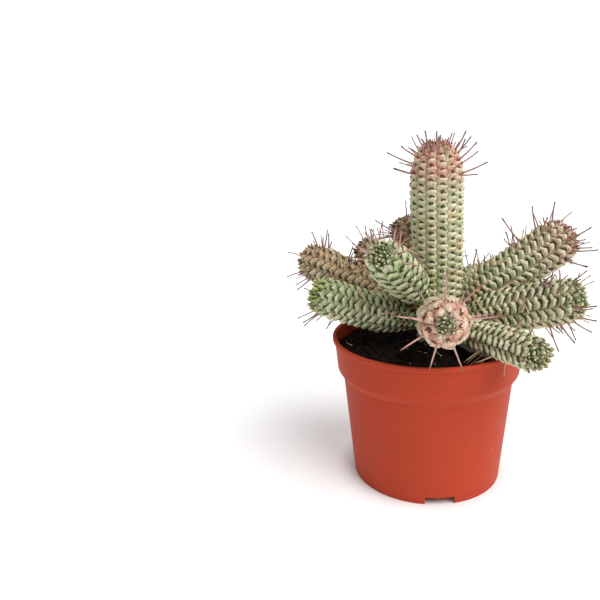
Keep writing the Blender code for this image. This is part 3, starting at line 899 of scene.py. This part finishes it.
def crown_spots(stem, crown, dice):
    spots = []
    for number in range(crown.count):
        share = math.sqrt((number + 0.5) / crown.count)
        point, normal, forward = surface_spot(stem, share * crown.spread * MM, GOLDEN_ANGLE * number)
        young = (0.65 + 0.35 * smooth_step(share * 2.0)) * dice.uniform(0.6, 1.25)
        stand = (normal + forward * 0.25 + any_direction(dice) * 0.3).normalized()
        inward = (forward - stand * forward.dot(stand)).normalized()
        place = point - normal * LEAFLET_SINK + any_direction(dice) * JITTER
        spots.append(Spot(place, stand, inward, crown.length * MM * young, crown.width * MM * young))
    return spots


def make_leaflet_material(name, foot, middle, tip):
    material, tree, shader, place = new_material(name)
    up = attribute(tree, "up_piece")
    patches = clouds(tree, place, 900.0, 2.0)
    lower = mixed(tree, (up + patches * 0.4).step(0.15, 0.7), foot, middle)
    tipped = mixed(tree, (up + patches * 0.3).step(0.7, 1.0), lower, tip)
    reddened = clouds(tree, place, 330.0, 1.0).step(0.52, 0.62) * 0.5
    flushed = mixed(tree, reddened, tipped, colour(168, 112, 92))
    plug(tree, shader.inputs["Base Color"], flushed)
    plug(tree, shader.inputs["Roughness"], 0.45 + patches * 0.2)
    plug(tree, shader.inputs["Normal"], relief(tree, patches, 0.15 * MM, 0.6))
    return material


def coloured(make, prefix, table):
    """The materials of a table of display colours, by kind."""
    return {kind: make(prefix + kind, *(colour(*c) for c in colours)) for kind, colours in table.items()}


leaflet_materials = coloured(make_leaflet_material, "leaflet_", LEAFLET_COLOURS)
leaflet = pattern_shape("leaflet", leaflet_rings())
dice = random.Random(11)
for number, stem in enumerate(stems):
    crown = CROWNS[stem.name]
    spots = crown_spots(stem, crown, dice)
    finish = leaflet_materials[crown.kind]
    piece = planted("leaflets_" + stem.name, leaflet, spots, finish, seed=number, least=0.8, most=1.3)
    join_frame(piece, "stem_skin")

# %% [markdown]
# ## The dry flower stalks
# The stems of this plant keep the stalks of old flowers, which dry to thin reddish spikes with a withered
# knob at the end. The longest ones are the solids' own, with the same feet, leans and lengths. Many short
# ones stand between them, and a few old ones have dropped onto the arms. These could be placed one by one,
# but nobody would tell them apart. So they come from a random choice with a fixed seed, within the stretch
# of the stem that bears them.

# %% The stalks
STALK_SIDES = 6
STALK_RINGS = 7
STALK_WIDTH = 1.1 * MM
STALK_SINK = 0.6 * MM  # of its foot, under the solid's outline

Stalk = namedtuple("Stalk", "back around lean length")
# The solids' stalks, as the numbers of a Stalk: how far behind the tip in mm, how far round the stem and how
# far from its axis they lean in degrees, and how long in mm.
STALKS = {
    "main_stem": (
        (4, 300, 40, 10), (5, 335, 30, 13), (3, 0, 8, 9), (8, 280, 62, 11),
        (13, 270, 70, 18), (18, 285, 78, 12), (6, 75, 36, 13), (8, 90, 48, 13),
        (11, 80, 52, 14), (14, 90, 64, 13), (19, 80, 72, 16), (7, 180, 30, 12),
    ),
    "arm_right_upper": (
        (6, 0, 55, 13), (16, 10, 70, 15), (28, 0, 95, 18), (32, 30, 110, 10),
        (3, 90, 20, 12), (7, 140, 45, 14), (12, 170, 60, 12), (12, 280, 60, 13),
    ),
    "arm_right_middle": (
        (4, 110, 15, 13), (5, 140, 30, 12), (9, 170, 50, 12), (14, 160, 65, 15),
        (20, 150, 80, 18), (14, 20, 70, 13), (21, 10, 85, 12),
    ),
    "arm_right_lower": ((40, 130, 110, 12), (14, 40, 60, 13)),
    "arm_front": (
        (8, 65, 62, 18), (9, 20, 58, 19), (10, 335, 58, 19), (9, 290, 62, 21),
        (8, 262, 60, 18), (11, 215, 62, 15), (9, 150, 60, 15), (10, 110, 62, 16),
    ),
    "arm_left_lower": ((8, 180, 60, 11),),
    "arm_left_upper": ((8, 350, 55, 11), (14, 20, 70, 12)),
    "arm_left_middle": ((8, 40, 50, 10),),
    "arm_back": ((7, 10, 50, 11),),
    "arm_back_right": ((8, 350, 50, 12),),
}

Fringe = namedtuple("Fringe", "count near far start sweep short long tilt", defaults=(0,))
# The short stalks: how many, the stretch behind the tip and their length in mm, and where about the stem
# they start and how far round they go, in degrees. tilt leans them back by more degrees.
FRINGES = {
    "main_stem": (Fringe(20, 4, 20, 0, 360, 6, 12), Fringe(30, 0.3, 5, 0, 360, 2.5, 4.5)),
    "arm_right_upper": (
        Fringe(18, 3, 14, 0, 360, 6, 12),
        Fringe(12, 16, 60, -50, 90, 6, 12),
        Fringe(30, 1, 12, 0, 360, 2.5, 4),
    ),
    "arm_right_middle": (
        Fringe(18, 3, 12, 0, 360, 7, 13),
        Fringe(10, 12, 46, 130, 90, 6, 11),
        Fringe(26, 4, 40, -60, 110, 2.5, 5),
    ),
    "arm_right_lower": (Fringe(7, 26, 44, 120, 60, 9, 13, 35), Fringe(4, 10, 30, -30, 60, 5, 8)),
    "arm_front": (Fringe(5, 7, 14, -100, 200, 8, 15),),
    "arm_left_lower": (Fringe(8, 5, 20, 90, 180, 8, 14), Fringe(4, 15, 60, -60, 120, 5, 8)),
    "arm_left_upper": (Fringe(18, 3, 14, 0, 360, 7, 13), Fringe(6, 16, 60, -60, 120, 5, 9)),
    "arm_left_middle": (Fringe(18, 4, 13, -100, 200, 8, 14),),
    "arm_left_rear": (Fringe(16, 3, 12, 0, 360, 8, 15),),
    "arm_back_left": (Fringe(28, 3, 16, 0, 360, 9, 17),),
    "arm_back": (Fringe(16, 3, 14, 0, 360, 6, 13),),
    "arm_back_right": (Fringe(16, 3, 14, 0, 360, 6, 13),),
}
# Old stalks that have dropped onto the arms: how many lie on each.
DROPPED = {
    "arm_left_upper": 9,
    "arm_left_lower": 7,
    "arm_right_middle": 7,
    "arm_right_upper": 4,
    "arm_left_middle": 5,
}
DROPPED_NEAR, DROPPED_FAR = 14.0, 62.0  # from the tip, in mm
DROPPED_ROUND = 100.0  # degrees to either side of the arm's top
DROPPED_SHORT, DROPPED_LONG = 8.0, 15.0  # in mm
TURNED_AWAY = 0.3  # a side that faces back more than this has none
DROPPED_LIFT = 1.6 * MM
LYING_LIFT = 0.22  # of their length, at the raised end
FRINGE_LEAN = 18.0  # of a short stalk at the tip, in degrees
FRINGE_LEAN_GAIN = 50.0  # more, where the stem has its full girth
STRAY = 0.22  # by which a short stalk's direction is off, as a share
SCRAP_WIDTH = 1.0 * MM
# The colours of a stalk's foot, middle and withered knob.
STALK_COLOURS = {
    "red": ((196, 154, 138), (164, 122, 114), (84, 60, 60)),
    "dark": ((158, 118, 108), (122, 86, 82), (70, 50, 50)),
    "pink": ((228, 194, 180), (208, 160, 150), (132, 84, 82)),
    "straw": ((222, 194, 156), (206, 172, 134), (128, 92, 70)),
}


def stalk_rings():
    """A stalk with a swollen foot, a slight bend towards +X and a withered knob."""
    rings = [[Vector((0.0, 0.0, -0.06))]]
    for i in range(STALK_RINGS):
        t = i / (STALK_RINGS - 1)
        foot, knob = 0.22 * math.exp(-t * 12.0), 0.14 * math.exp(-(((t - 0.95) / 0.06) ** 2))
        wide = 0.5 * (1.0 - 0.38 * t) + foot + knob
        rings.append(oval(STALK_SIDES, wide, wide, 1.2 * t * t, t))
    rings.append([Vector((1.25, 0.0, 1.03))])
    return rings


def stalk_spot(stem, stalk, thick, on_rib=True):
    """A stalk's place on a stem. on_rib moves it round to the middle of the nearest rib, as in the solids."""
    distance = stem.length - stalk.back * MM
    pitch = 360.0 / stem.ribs
    around = pitch * round(stalk.around / pitch) if on_rib else stalk.around
    out, forward = stem.outward(distance, around), stem.direction(distance)
    lean = math.radians(stalk.lean)
    stand = out * math.sin(lean) + forward * math.cos(lean)
    bend = (forward - stand * forward.dot(stand)).normalized()
    place = stem.axis(distance) + out * (stem.girth(distance) - STALK_SINK)
    return Spot(place, stand, bend, stalk.length * MM, thick)


def fringe_spots(stem, fringe, dice):
    """Short stalks, evenly spread round the stem but at uneven distances behind the tip."""
    spots = []
    first = dice.random()
    for i in range(fringe.count):
        back = dice.uniform(fringe.near, fringe.far)
        around = fringe.start + fringe.sweep * ((first + i / fringe.count) % 1.0)
        full = smooth_step(back / (stem.radius / MM))
        lean = FRINGE_LEAN + FRINGE_LEAN_GAIN * full + fringe.tilt + dice.uniform(-8.0, 14.0)
        stalk = Stalk(back, around, lean, dice.uniform(fringe.short, fringe.long))
        spot = stalk_spot(stem, stalk, STALK_WIDTH * dice.uniform(0.65, 0.95), on_rib=False)
        stand = (spot.stand + any_direction(dice) * STRAY).normalized()
        bend = any_direction(dice)
        spots.append(spot._replace(stand=stand, bend=(bend - stand * stand.dot(bend)).normalized()))
    return spots


def dropped_spots(stem, count, dice):
    """Stalks that lie across the upper and the front side of an arm."""
    spots = []
    while len(spots) < count:
        back = dice.uniform(DROPPED_NEAR, DROPPED_FAR)
        around = dice.uniform(-DROPPED_ROUND, DROPPED_ROUND)
        length = dice.uniform(DROPPED_SHORT, DROPPED_LONG)
        spot = stalk_spot(stem, Stalk(back, around, 90.0, length), SCRAP_WIDTH)
        if spot.stand.y > TURNED_AWAY:
            continue
        across = any_direction(dice)
        across = (across - spot.stand * across.dot(spot.stand)).normalized()
        lying = (across + spot.stand * LYING_LIFT).normalized()
        place = spot.place + spot.stand * DROPPED_LIFT - lying * (0.4 * spot.length)
        spots.append(spot._replace(place=place, stand=lying, bend=spot.stand))
    return spots


def make_stalk_material(name, foot, middle, knob):
    material, tree, shader, place = new_material(name)
    up = attribute(tree, "up_piece")
    patches = clouds(tree, place, 300.0, 3.0)
    grain = clouds(tree, place, 1800.0, 2.0)
    lower = mixed(tree, (up + patches * 0.4).step(0.15, 0.7), foot, middle)
    tipped = mixed(tree, (up + patches * 0.3).step(0.82, 1.12), lower, knob)
    shaded = mixed(tree, grain.step(0.5, 0.7) * 0.35, tipped, knob)
    plug(tree, shader.inputs["Base Color"], shaded)
    plug(tree, shader.inputs["Roughness"], 0.6 + grain * 0.25)
    plug(tree, shader.inputs["Normal"], relief(tree, grain, 0.15 * MM, 0.8))
    return material


stalk_materials = coloured(make_stalk_material, "stalk_", STALK_COLOURS)
STALK_FINISHES = {
    "arm_right_lower": "straw",
    "arm_front": "pink",
    "arm_left_middle": "pink",
    "arm_left_upper": "dark",
    "arm_back_left": "dark",
}
stalk_shape = pattern_shape("stalk", stalk_rings())
dice = random.Random(7)
for number, stem in enumerate(stems):
    own = [Stalk(*row) for row in STALKS.get(stem.name, ())]
    spots = [stalk_spot(stem, stalk, STALK_WIDTH) for stalk in own]
    for fringe in FRINGES[stem.name]:
        spots += fringe_spots(stem, fringe, dice)
    finish = stalk_materials[STALK_FINISHES.get(stem.name, "red")]
    name, seed = "stalks_" + stem.name, 40 + number
    piece = planted(name, stalk_shape, spots, finish, seed, least=0.97, most=1.03)
    join_frame(piece, "dry_stalk", *[f"{stem.name}_stalk_{i + 1}" for i in range(len(own))])

dice = random.Random(23)
dropped = []
for stem in stems:
    dropped += dropped_spots(stem, DROPPED.get(stem.name, 0), dice)
join_frame(planted("dropped_stalks", stalk_shape, dropped, stalk_materials["straw"], seed=60), "dry_stalk")

# %% [markdown]
# ## The pot
# It is an injection-moulded nursery pot: a thin wall with a wide collar under a rounded lip, a raised floor
# with drain holes, and three notches in its foot. It is a turned shape, so its outline is drawn once and
# spun. The notches and holes are cut afterwards with a Boolean, as the mould's inserts shape them.

# %% The pot's outline
POT_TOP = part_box("pot")[1].z
RIM_RADIUS = 60.0 * MM
LIP_HEIGHT = 3.0 * MM
LIP_PROUD = 1.4 * MM
COLLAR_HEIGHT = 22.0 * MM
COLLAR_TAPER = 1.6 * MM
COLLAR_STEP = 3.4 * MM
COLLAR_ROUNDING = 2.6 * MM
FOOT_RADIUS = 47.3 * MM
WALL = 1.2 * MM
FLOOR_LIFT = 6.0 * MM
PAD_RADIUS = 9.0 * MM
PAD_SLOPE = 3.0 * MM
EDGE_ROUNDING = 0.5 * MM
POT_SEGMENTS = 144
WALL_STEPS = 36
COLLAR_BOTTOM = POT_TOP - COLLAR_HEIGHT
STEP_BOTTOM = COLLAR_BOTTOM - COLLAR_ROUNDING


def body_radius(height):
    top_radius = RIM_RADIUS - LIP_PROUD - COLLAR_TAPER - COLLAR_STEP
    return FOOT_RADIUS + (top_radius - FOOT_RADIUS) * height / STEP_BOTTOM


def collar_radius(height):
    below_lip = POT_TOP - LIP_HEIGHT - height
    return RIM_RADIUS - LIP_PROUD - COLLAR_TAPER * below_lip / (COLLAR_HEIGHT - LIP_HEIGHT)


def outer_radius(height):
    """The outside of the pot's wall under its lip."""
    if height >= COLLAR_BOTTOM:
        return collar_radius(height)
    share = smooth_step((height - STEP_BOTTOM) / COLLAR_ROUNDING)
    return body_radius(height) + (collar_radius(COLLAR_BOTTOM) - body_radius(STEP_BOTTOM)) * share


def rounded(corners, radius, steps=4):
    """The outline with each inner corner replaced by a short arc-like curve."""
    outline = [corners[0]]
    for before, corner, after in zip(corners, corners[1:], corners[2:]):
        a, b, c = Vector(before), Vector(corner), Vector(after)
        back = min(radius, 0.45 * (b - a).length)
        ahead = min(radius, 0.45 * (c - b).length)
        start, end = b + (a - b).normalized() * back, b + (c - b).normalized() * ahead
        for i in range(steps + 1):
            t = i / steps
            outline.append(tuple(start * (1 - t) ** 2 + b * (2 * t * (1 - t)) + end * t * t))
    outline.append(corners[-1])
    return outline


def pot_outline():
    """(radius, height) from the middle of the floor's top, up inside, over the lip and down outside."""
    floor_top = FLOOR_LIFT + WALL
    pad_edge = PAD_RADIUS + PAD_SLOPE
    heights = [floor_top + (POT_TOP - floor_top) * i / WALL_STEPS for i in range(WALL_STEPS + 1)]
    inside = [(outer_radius(height) - WALL, height) for height in heights]
    lip_bottom = POT_TOP - LIP_HEIGHT
    lip = [
        (RIM_RADIUS, POT_TOP),
        (RIM_RADIUS, lip_bottom + 0.2 * LIP_HEIGHT),
        (collar_radius(lip_bottom), lip_bottom),
    ]
    heights = [lip_bottom * (1 - i / WALL_STEPS) for i in range(1, WALL_STEPS + 1)]
    outside = [(outer_radius(height), height) for height in heights]
    under = [
        (FOOT_RADIUS - WALL, 0.0),
        (body_radius(FLOOR_LIFT) - WALL, FLOOR_LIFT),
        (pad_edge + 0.5 * WALL, FLOOR_LIFT),
        (PAD_RADIUS + 0.5 * WALL, 0.0),
        (0.0, 0.0),
    ]
    floor = [(0.0, WALL), (PAD_RADIUS - 0.5 * WALL, WALL), (pad_edge - 0.5 * WALL, floor_top)]
    return rounded(floor + inside + lip + outside + under, EDGE_ROUNDING)


def turned(name, outline, segments):
    """The mesh of a closed solid turned about Z."""
    rings = []
    for radius, height in outline:
        on_axis = radius < TINY
        rings.append([Vector((0.0, 0.0, height))] if on_axis else oval(segments, radius, radius, 0.0, height))
    return mesh_of(name, skinned(rings))


print("points in the pot's outline:", len(pot_outline()))

# %% [markdown]
# The pot's floor has round drain holes, and its foot has notches that let the water run off. They could be
# left out of the turned mesh face by face, but a Boolean with one cutter is shorter and leaves clean edges.
# Edges over 35 degrees stay sharp, and the rest of the wall is shaded smooth.

# %% Turn the pot and cut its openings
NOTCH_COUNT = 3
NOTCH_WIDTH = 18.0 * MM
NOTCH_HEIGHT = 4.8 * MM
NOTCH_FIRST_AZIMUTH = -79.0
DRAIN_COUNT = 6
DRAIN_RADIUS = 4.0 * MM
DRAIN_CIRCLE = 28.0 * MM
DRAIN_SIDES = 32
SHARP_EDGE = math.radians(35.0)


def add_prism(shape, outline, start, end):
    """A closed prism between the outline moved by start and by end."""
    ends = [[shape.verts.new(point + shift) for point in outline] for shift in (start, end)]
    for i in range(len(outline)):
        j = (i + 1) % len(outline)
        shape.faces.new((ends[0][i], ends[0][j], ends[1][j], ends[1][i]))
    shape.faces.new(ends[0])
    shape.faces.new(ends[1])


def pot_cutter():
    shape = bmesh.new()
    half = 0.5 * NOTCH_WIDTH
    corners = [(-half, -NOTCH_HEIGHT), (-half, NOTCH_HEIGHT), (half, NOTCH_HEIGHT), (half, -NOTCH_HEIGHT)]
    for i in range(NOTCH_COUNT):
        azimuth = NOTCH_FIRST_AZIMUTH + 360.0 * i / NOTCH_COUNT
        out, along = heading(azimuth, 0.0), heading(azimuth + 90.0, 0.0)
        points = [along * a + UP * z for a, z in corners]
        add_prism(shape, points, out * (FOOT_RADIUS - 6.0 * WALL), out * (FOOT_RADIUS + 6.0 * WALL))
    for i in range(DRAIN_COUNT):
        centre = heading(360.0 * (i + 0.5) / DRAIN_COUNT, 0.0) * DRAIN_CIRCLE
        turns = [360.0 * k / DRAIN_SIDES for k in range(DRAIN_SIDES)]
        points = [centre + heading(turn, 0.0) * DRAIN_RADIUS for turn in turns]
        add_prism(shape, points, UP * (FLOOR_LIFT - 2.0 * WALL), UP * (FLOOR_LIFT + 3.0 * WALL))
    return show("pot_cutter", mesh_of("pot_cutter", shape))


def make_pot_mesh():
    blank = show("pot_blank", turned("pot_blank", pot_outline(), POT_SEGMENTS))
    cutter = pot_cutter()
    modifier = blank.modifiers.new("openings", "BOOLEAN")
    modifier.operation = "DIFFERENCE"
    modifier.solver = "EXACT"
    modifier.object = cutter
    mesh = applied(blank)
    for old in (blank, cutter):
        bpy.data.objects.remove(old, do_unlink=True)
    mesh.shade_smooth()
    mesh.set_sharp_from_angle(angle=SHARP_EDGE)
    mesh.materials.clear()
    return mesh


pot_mesh = make_pot_mesh()
print("pot:", len(pot_mesh.polygons), "faces")

# %% [markdown]
# The plastic is opaque brick red with a soft sheen. Close up it shows fine flow lines around the pot, a
# slight unevenness from the mould, and a few pale scuffs.


# %% The finish of the pot
def make_pot_material():
    material, tree, shader, place = new_material("nursery_pot_plastic")
    stretched = add_node(tree, "ShaderNodeMapping", Vector=place, Scale=(1.0, 1.0, 14.0))
    flow = clouds(tree, output(stretched), 26.0, 4.0, 0.6)
    fine = clouds(tree, place, 1400.0, 3.0)
    uneven = clouds(tree, place, 24.0, 2.0)
    worn = clouds(tree, place, 90.0, 5.0, 0.7)
    base = mixed(tree, flow * 0.7 + uneven * 0.3, colour(172, 62, 38), colour(190, 72, 46))
    scuffed = mixed(tree, worn.step(0.66, 0.78) * 0.3, base, colour(214, 122, 98))
    plug(tree, shader.inputs["Base Color"], scuffed)
    plug(tree, shader.inputs["Roughness"], 0.42 + worn * 0.18)
    shader.inputs["Specular IOR Level"].default_value = 0.09
    plug(tree, shader.inputs["Normal"], relief(tree, flow * 0.7 + fine * 0.3, 0.25 * MM, 0.35))
    return material


pot_mesh.materials.append(make_pot_material())
pot_piece = show("nursery_pot", pot_mesh)
join_frame(pot_piece, "pot_plastic", "pot")

# %% [markdown]
# ## The soil
# The potting soil is dark peat. Its bed is a solid with an uneven top, and loose crumbs and a little pale
# grit lie on it. The bed comes from noise with a fixed seed on a turned solid, and the crumbs are planted on
# its top by the same tree as the leaflets.

# %% The bed
SOIL_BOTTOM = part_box("soil")[0].z
SOIL_GAP = 0.6 * MM
SOIL_DROP = 8.0 * MM  # from the pot's lip to the soil at its wall
SOIL_EDGE = POT_TOP - SOIL_DROP
SOIL_RINGS = 60
SOIL_SIDE_RINGS = 24
SOIL_SEGMENTS = 180
SOIL_ROUGHNESS = 1.4 * MM
SOIL_SETTLE = 0.5 * MM  # by which the bed's top lies under the solid's
BED_RADIUS = outer_radius(SOIL_EDGE) - WALL - SOIL_GAP


def soil_height(x, y):
    """The top of the bed: mounded at the plant, with lumps."""
    reach = math.hypot(x, y) / RIM_RADIUS
    mound = SOIL_EDGE + (SOIL_TOP - SOIL_EDGE) * smooth_step((1.0 - reach) / 0.7)
    lumps = noise.fractal(Vector((x, y, 0.0)) * 110.0, 0.8, 2.0, 5)
    return mound + lumps * SOIL_ROUGHNESS - SOIL_SETTLE


def make_soil_mesh():
    outline = [(0.0, SOIL_TOP)]
    outline += [(BED_RADIUS * i / SOIL_RINGS, SOIL_TOP) for i in range(1, SOIL_RINGS + 1)]
    side_top = SOIL_EDGE - 2.0 * MM
    for i in range(1, SOIL_SIDE_RINGS + 1):
        height = side_top - (side_top - SOIL_BOTTOM) * i / SOIL_SIDE_RINGS
        outline.append((outer_radius(height) - WALL - SOIL_GAP, height))
    outline.append((0.0, SOIL_BOTTOM))
    mesh = turned("soil_bed", outline, SOIL_SEGMENTS)
    for vertex in mesh.vertices:
        if vertex.co.z > SOIL_TOP - TINY:
            vertex.co.z = soil_height(vertex.co.x, vertex.co.y)
    mesh.shade_smooth()
    return mesh


def make_peat_material(name, dark, light, grain_depth):
    material, tree, shader, place = new_material(name)
    grain = clouds(tree, place, 900.0, 5.0, 0.7)
    fibres = clouds(tree, place, 260.0, 3.0)
    mix = mixed(tree, (grain * 0.6 + fibres * 0.4).step(0.42, 0.68), dark, light)
    plug(tree, shader.inputs["Base Color"], mix)
    plug(tree, shader.inputs["Roughness"], 0.85 + grain * 0.15)
    shader.inputs["Specular IOR Level"].default_value = 0.2
    plug(tree, shader.inputs["Normal"], relief(tree, grain * 0.6 + fibres * 0.4, grain_depth, 1.0))
    return material


peat = make_peat_material("peat", colour(22, 15, 10), colour(58, 42, 28), 1.2 * MM)
soil_mesh = make_soil_mesh()
soil_mesh.materials.append(peat)
join_frame(show("soil_bed", soil_mesh), "soil", "soil")

# %% [markdown]
# A noise on the bed alone looks like moulded rubber, because real peat is loose. So small rough crumbs lie
# all over it, with a few pale grains of grit and some fallen stalks. Small crumbs are common and large ones
# are rare.

# %% The crumbs and the grit
CRUMB_COUNT = 2600
GRIT_COUNT = 46
SCRAP_COUNT = 14
LUMP_SIDES = 5
FALLEN_WIDTH = 0.7 * MM


def lump_rings(dice):
    """A rough lump one unit across."""
    rings = [[Vector((0.0, 0.0, -0.42))]]
    for z, wide in ((-0.25, 0.36), (0.05, 0.5), (0.3, 0.33)):
        ring = []
        for k in range(LUMP_SIDES):
            a = 2.0 * math.pi * (k + dice.uniform(-0.25, 0.25)) / LUMP_SIDES
            reach = wide * dice.uniform(0.75, 1.15)
            ring.append(Vector((reach * math.cos(a), reach * math.sin(a), z + dice.uniform(-0.07, 0.07))))
        rings.append(ring)
    rings.append([Vector((0.0, 0.0, 0.45))])
    return rings


def scattered(dice, count, small, large, sharpness):
    """Spots over the bed. A higher sharpness makes large ones rarer."""
    spots = []
    while len(spots) < count:
        x, y = dice.uniform(-BED_RADIUS, BED_RADIUS), dice.uniform(-BED_RADIUS, BED_RADIUS)
        size = (small + (large - small) * dice.random() ** sharpness) * MM
        if math.hypot(x, y) > BED_RADIUS - 0.6 * size:
            continue
        stand = heading(dice.uniform(0.0, 360.0), dice.uniform(20.0, 90.0))
        bend = heading(dice.uniform(0.0, 360.0), -20.0)
        place = Vector((x, y, soil_height(x, y) + 0.2 * size))
        spots.append(Spot(place, stand, bend, size * dice.uniform(0.6, 1.0), size))
    return spots


dice = random.Random(19)
lump = pattern_shape("lump", lump_rings(dice))
crumb_spots = scattered(dice, CRUMB_COUNT, 0.5, 2.6, 2.5)
join_frame(planted("soil_crumbs", lump, crumb_spots, peat, seed=3), "soil")
grit_spots = scattered(dice, GRIT_COUNT, 0.5, 1.7, 1.5)
grit_finish = make_peat_material("grit", colour(150, 128, 96), colour(214, 200, 172), 0.3 * MM)
join_frame(planted("soil_grit", lump, grit_spots, grit_finish, seed=4), "soil")
scrap_spots = []
for spot in scattered(dice, SCRAP_COUNT, 4.0, 9.0, 1.5):
    flat = Vector((spot.stand.x, spot.stand.y, 0.1)).normalized()
    away = Vector((spot.place.x, spot.place.y, 0.0)).length + spot.width
    if away < RIM_RADIUS - 6.0 * MM:
        raised = Vector((spot.place.x, spot.place.y, SOIL_TOP + 0.6 * MM))
        scrap_spots.append(Spot(raised, flat, UP, spot.width, FALLEN_WIDTH))
fallen = planted("fallen_stalks", stalk_shape, scrap_spots, stalk_materials["straw"], seed=5)
join_frame(fallen, "dry_stalk")

# %% [markdown]
# ## The light
# The plant stands on a white table in a bright white room, so the light is soft and comes from all round. A
# large soft light from the front right gives the forms their shade. A sun lamp is used for it, because its
# light is even over the whole table. The table itself glows a little, though it is no lamp: a painted glow
# that lights the plant from below and keeps the shadows pale. The glow fades out under the pot, which paints
# a darker contact shadow there, so the notches in its foot stay dark.


# %% The table and the lights
TABLE_HALF = 4.0  # metres
TABLE_GREYS = (0.90, 0.90, 0.90, 1.0), (0.93, 0.93, 0.93, 1.0)
WHITE = (1.0, 1.0, 1.0, 1.0)
# The table's painted glow, and where it fades out into a painted contact shadow under the pot.
TABLE_GLOW = 0.32
GLOW_STARTS = 40.0 * MM  # from the middle of the table, under the pot
GLOW_FULL = 62.0 * MM
KEY_AZIMUTH, KEY_LIFT = -30.0, 52.0
KEY_STRENGTH = 2.7
KEY_SOFTNESS = math.radians(50.0)
ROOM_LIGHT = 0.33
ROOM_SEEN = 1.05  # how bright the room's wall looks


def make_table():
    mesh = bpy.data.meshes.new("table_top")
    s = TABLE_HALF
    mesh.from_pydata([(-s, -s, 0.0), (s, -s, 0.0), (s, s, 0.0), (-s, s, 0.0)], [], [(0, 1, 2, 3)])
    material, tree, shader, place = new_material("white_table")
    plug(tree, shader.inputs["Base Color"], mixed(tree, clouds(tree, place, 3.0), *TABLE_GREYS))
    shader.inputs["Roughness"].default_value = 0.7
    shader.inputs["Specular IOR Level"].default_value = 0.1
    shader.inputs["Emission Color"].default_value = WHITE
    across = add_node(tree, "ShaderNodeVectorMath", {"operation": "LENGTH"}, Vector=place)
    glow = output(across, "Value").step(GLOW_STARTS, GLOW_FULL) * TABLE_GLOW
    plug(tree, shader.inputs["Emission Strength"], glow)
    mesh.materials.append(material)
    show("table_top", mesh)


def add_key_light():
    data = bpy.data.lights.new("key_light", "SUN")
    data.energy = KEY_STRENGTH
    data.angle = KEY_SOFTNESS
    light = show("key_light", data)
    light.rotation_mode = "QUATERNION"
    light.location = heading(KEY_AZIMUTH, KEY_LIFT)
    light.rotation_quaternion = (light.location * -1.0).to_track_quat("-Z", "Y")


def set_room():
    """White all round. The wall looks white, and lights the plant less than it would."""
    room = bpy.data.worlds.new("white_room")
    room.use_nodes = True
    tree = room.node_tree
    seen = output(tree.nodes.new("ShaderNodeLightPath"), "Is Camera Ray")
    strength = seen * (ROOM_SEEN - ROOM_LIGHT) + ROOM_LIGHT
    background = tree.nodes["Background"]
    background.inputs["Color"].default_value = WHITE
    plug(tree, background.inputs["Strength"], strength)
    bpy.context.scene.world = room


make_table()
set_room()
add_key_light()
bpy.context.scene.view_settings.view_transform = "Standard"
print("lights: key", KEY_STRENGTH, "and room", ROOM_LIGHT)
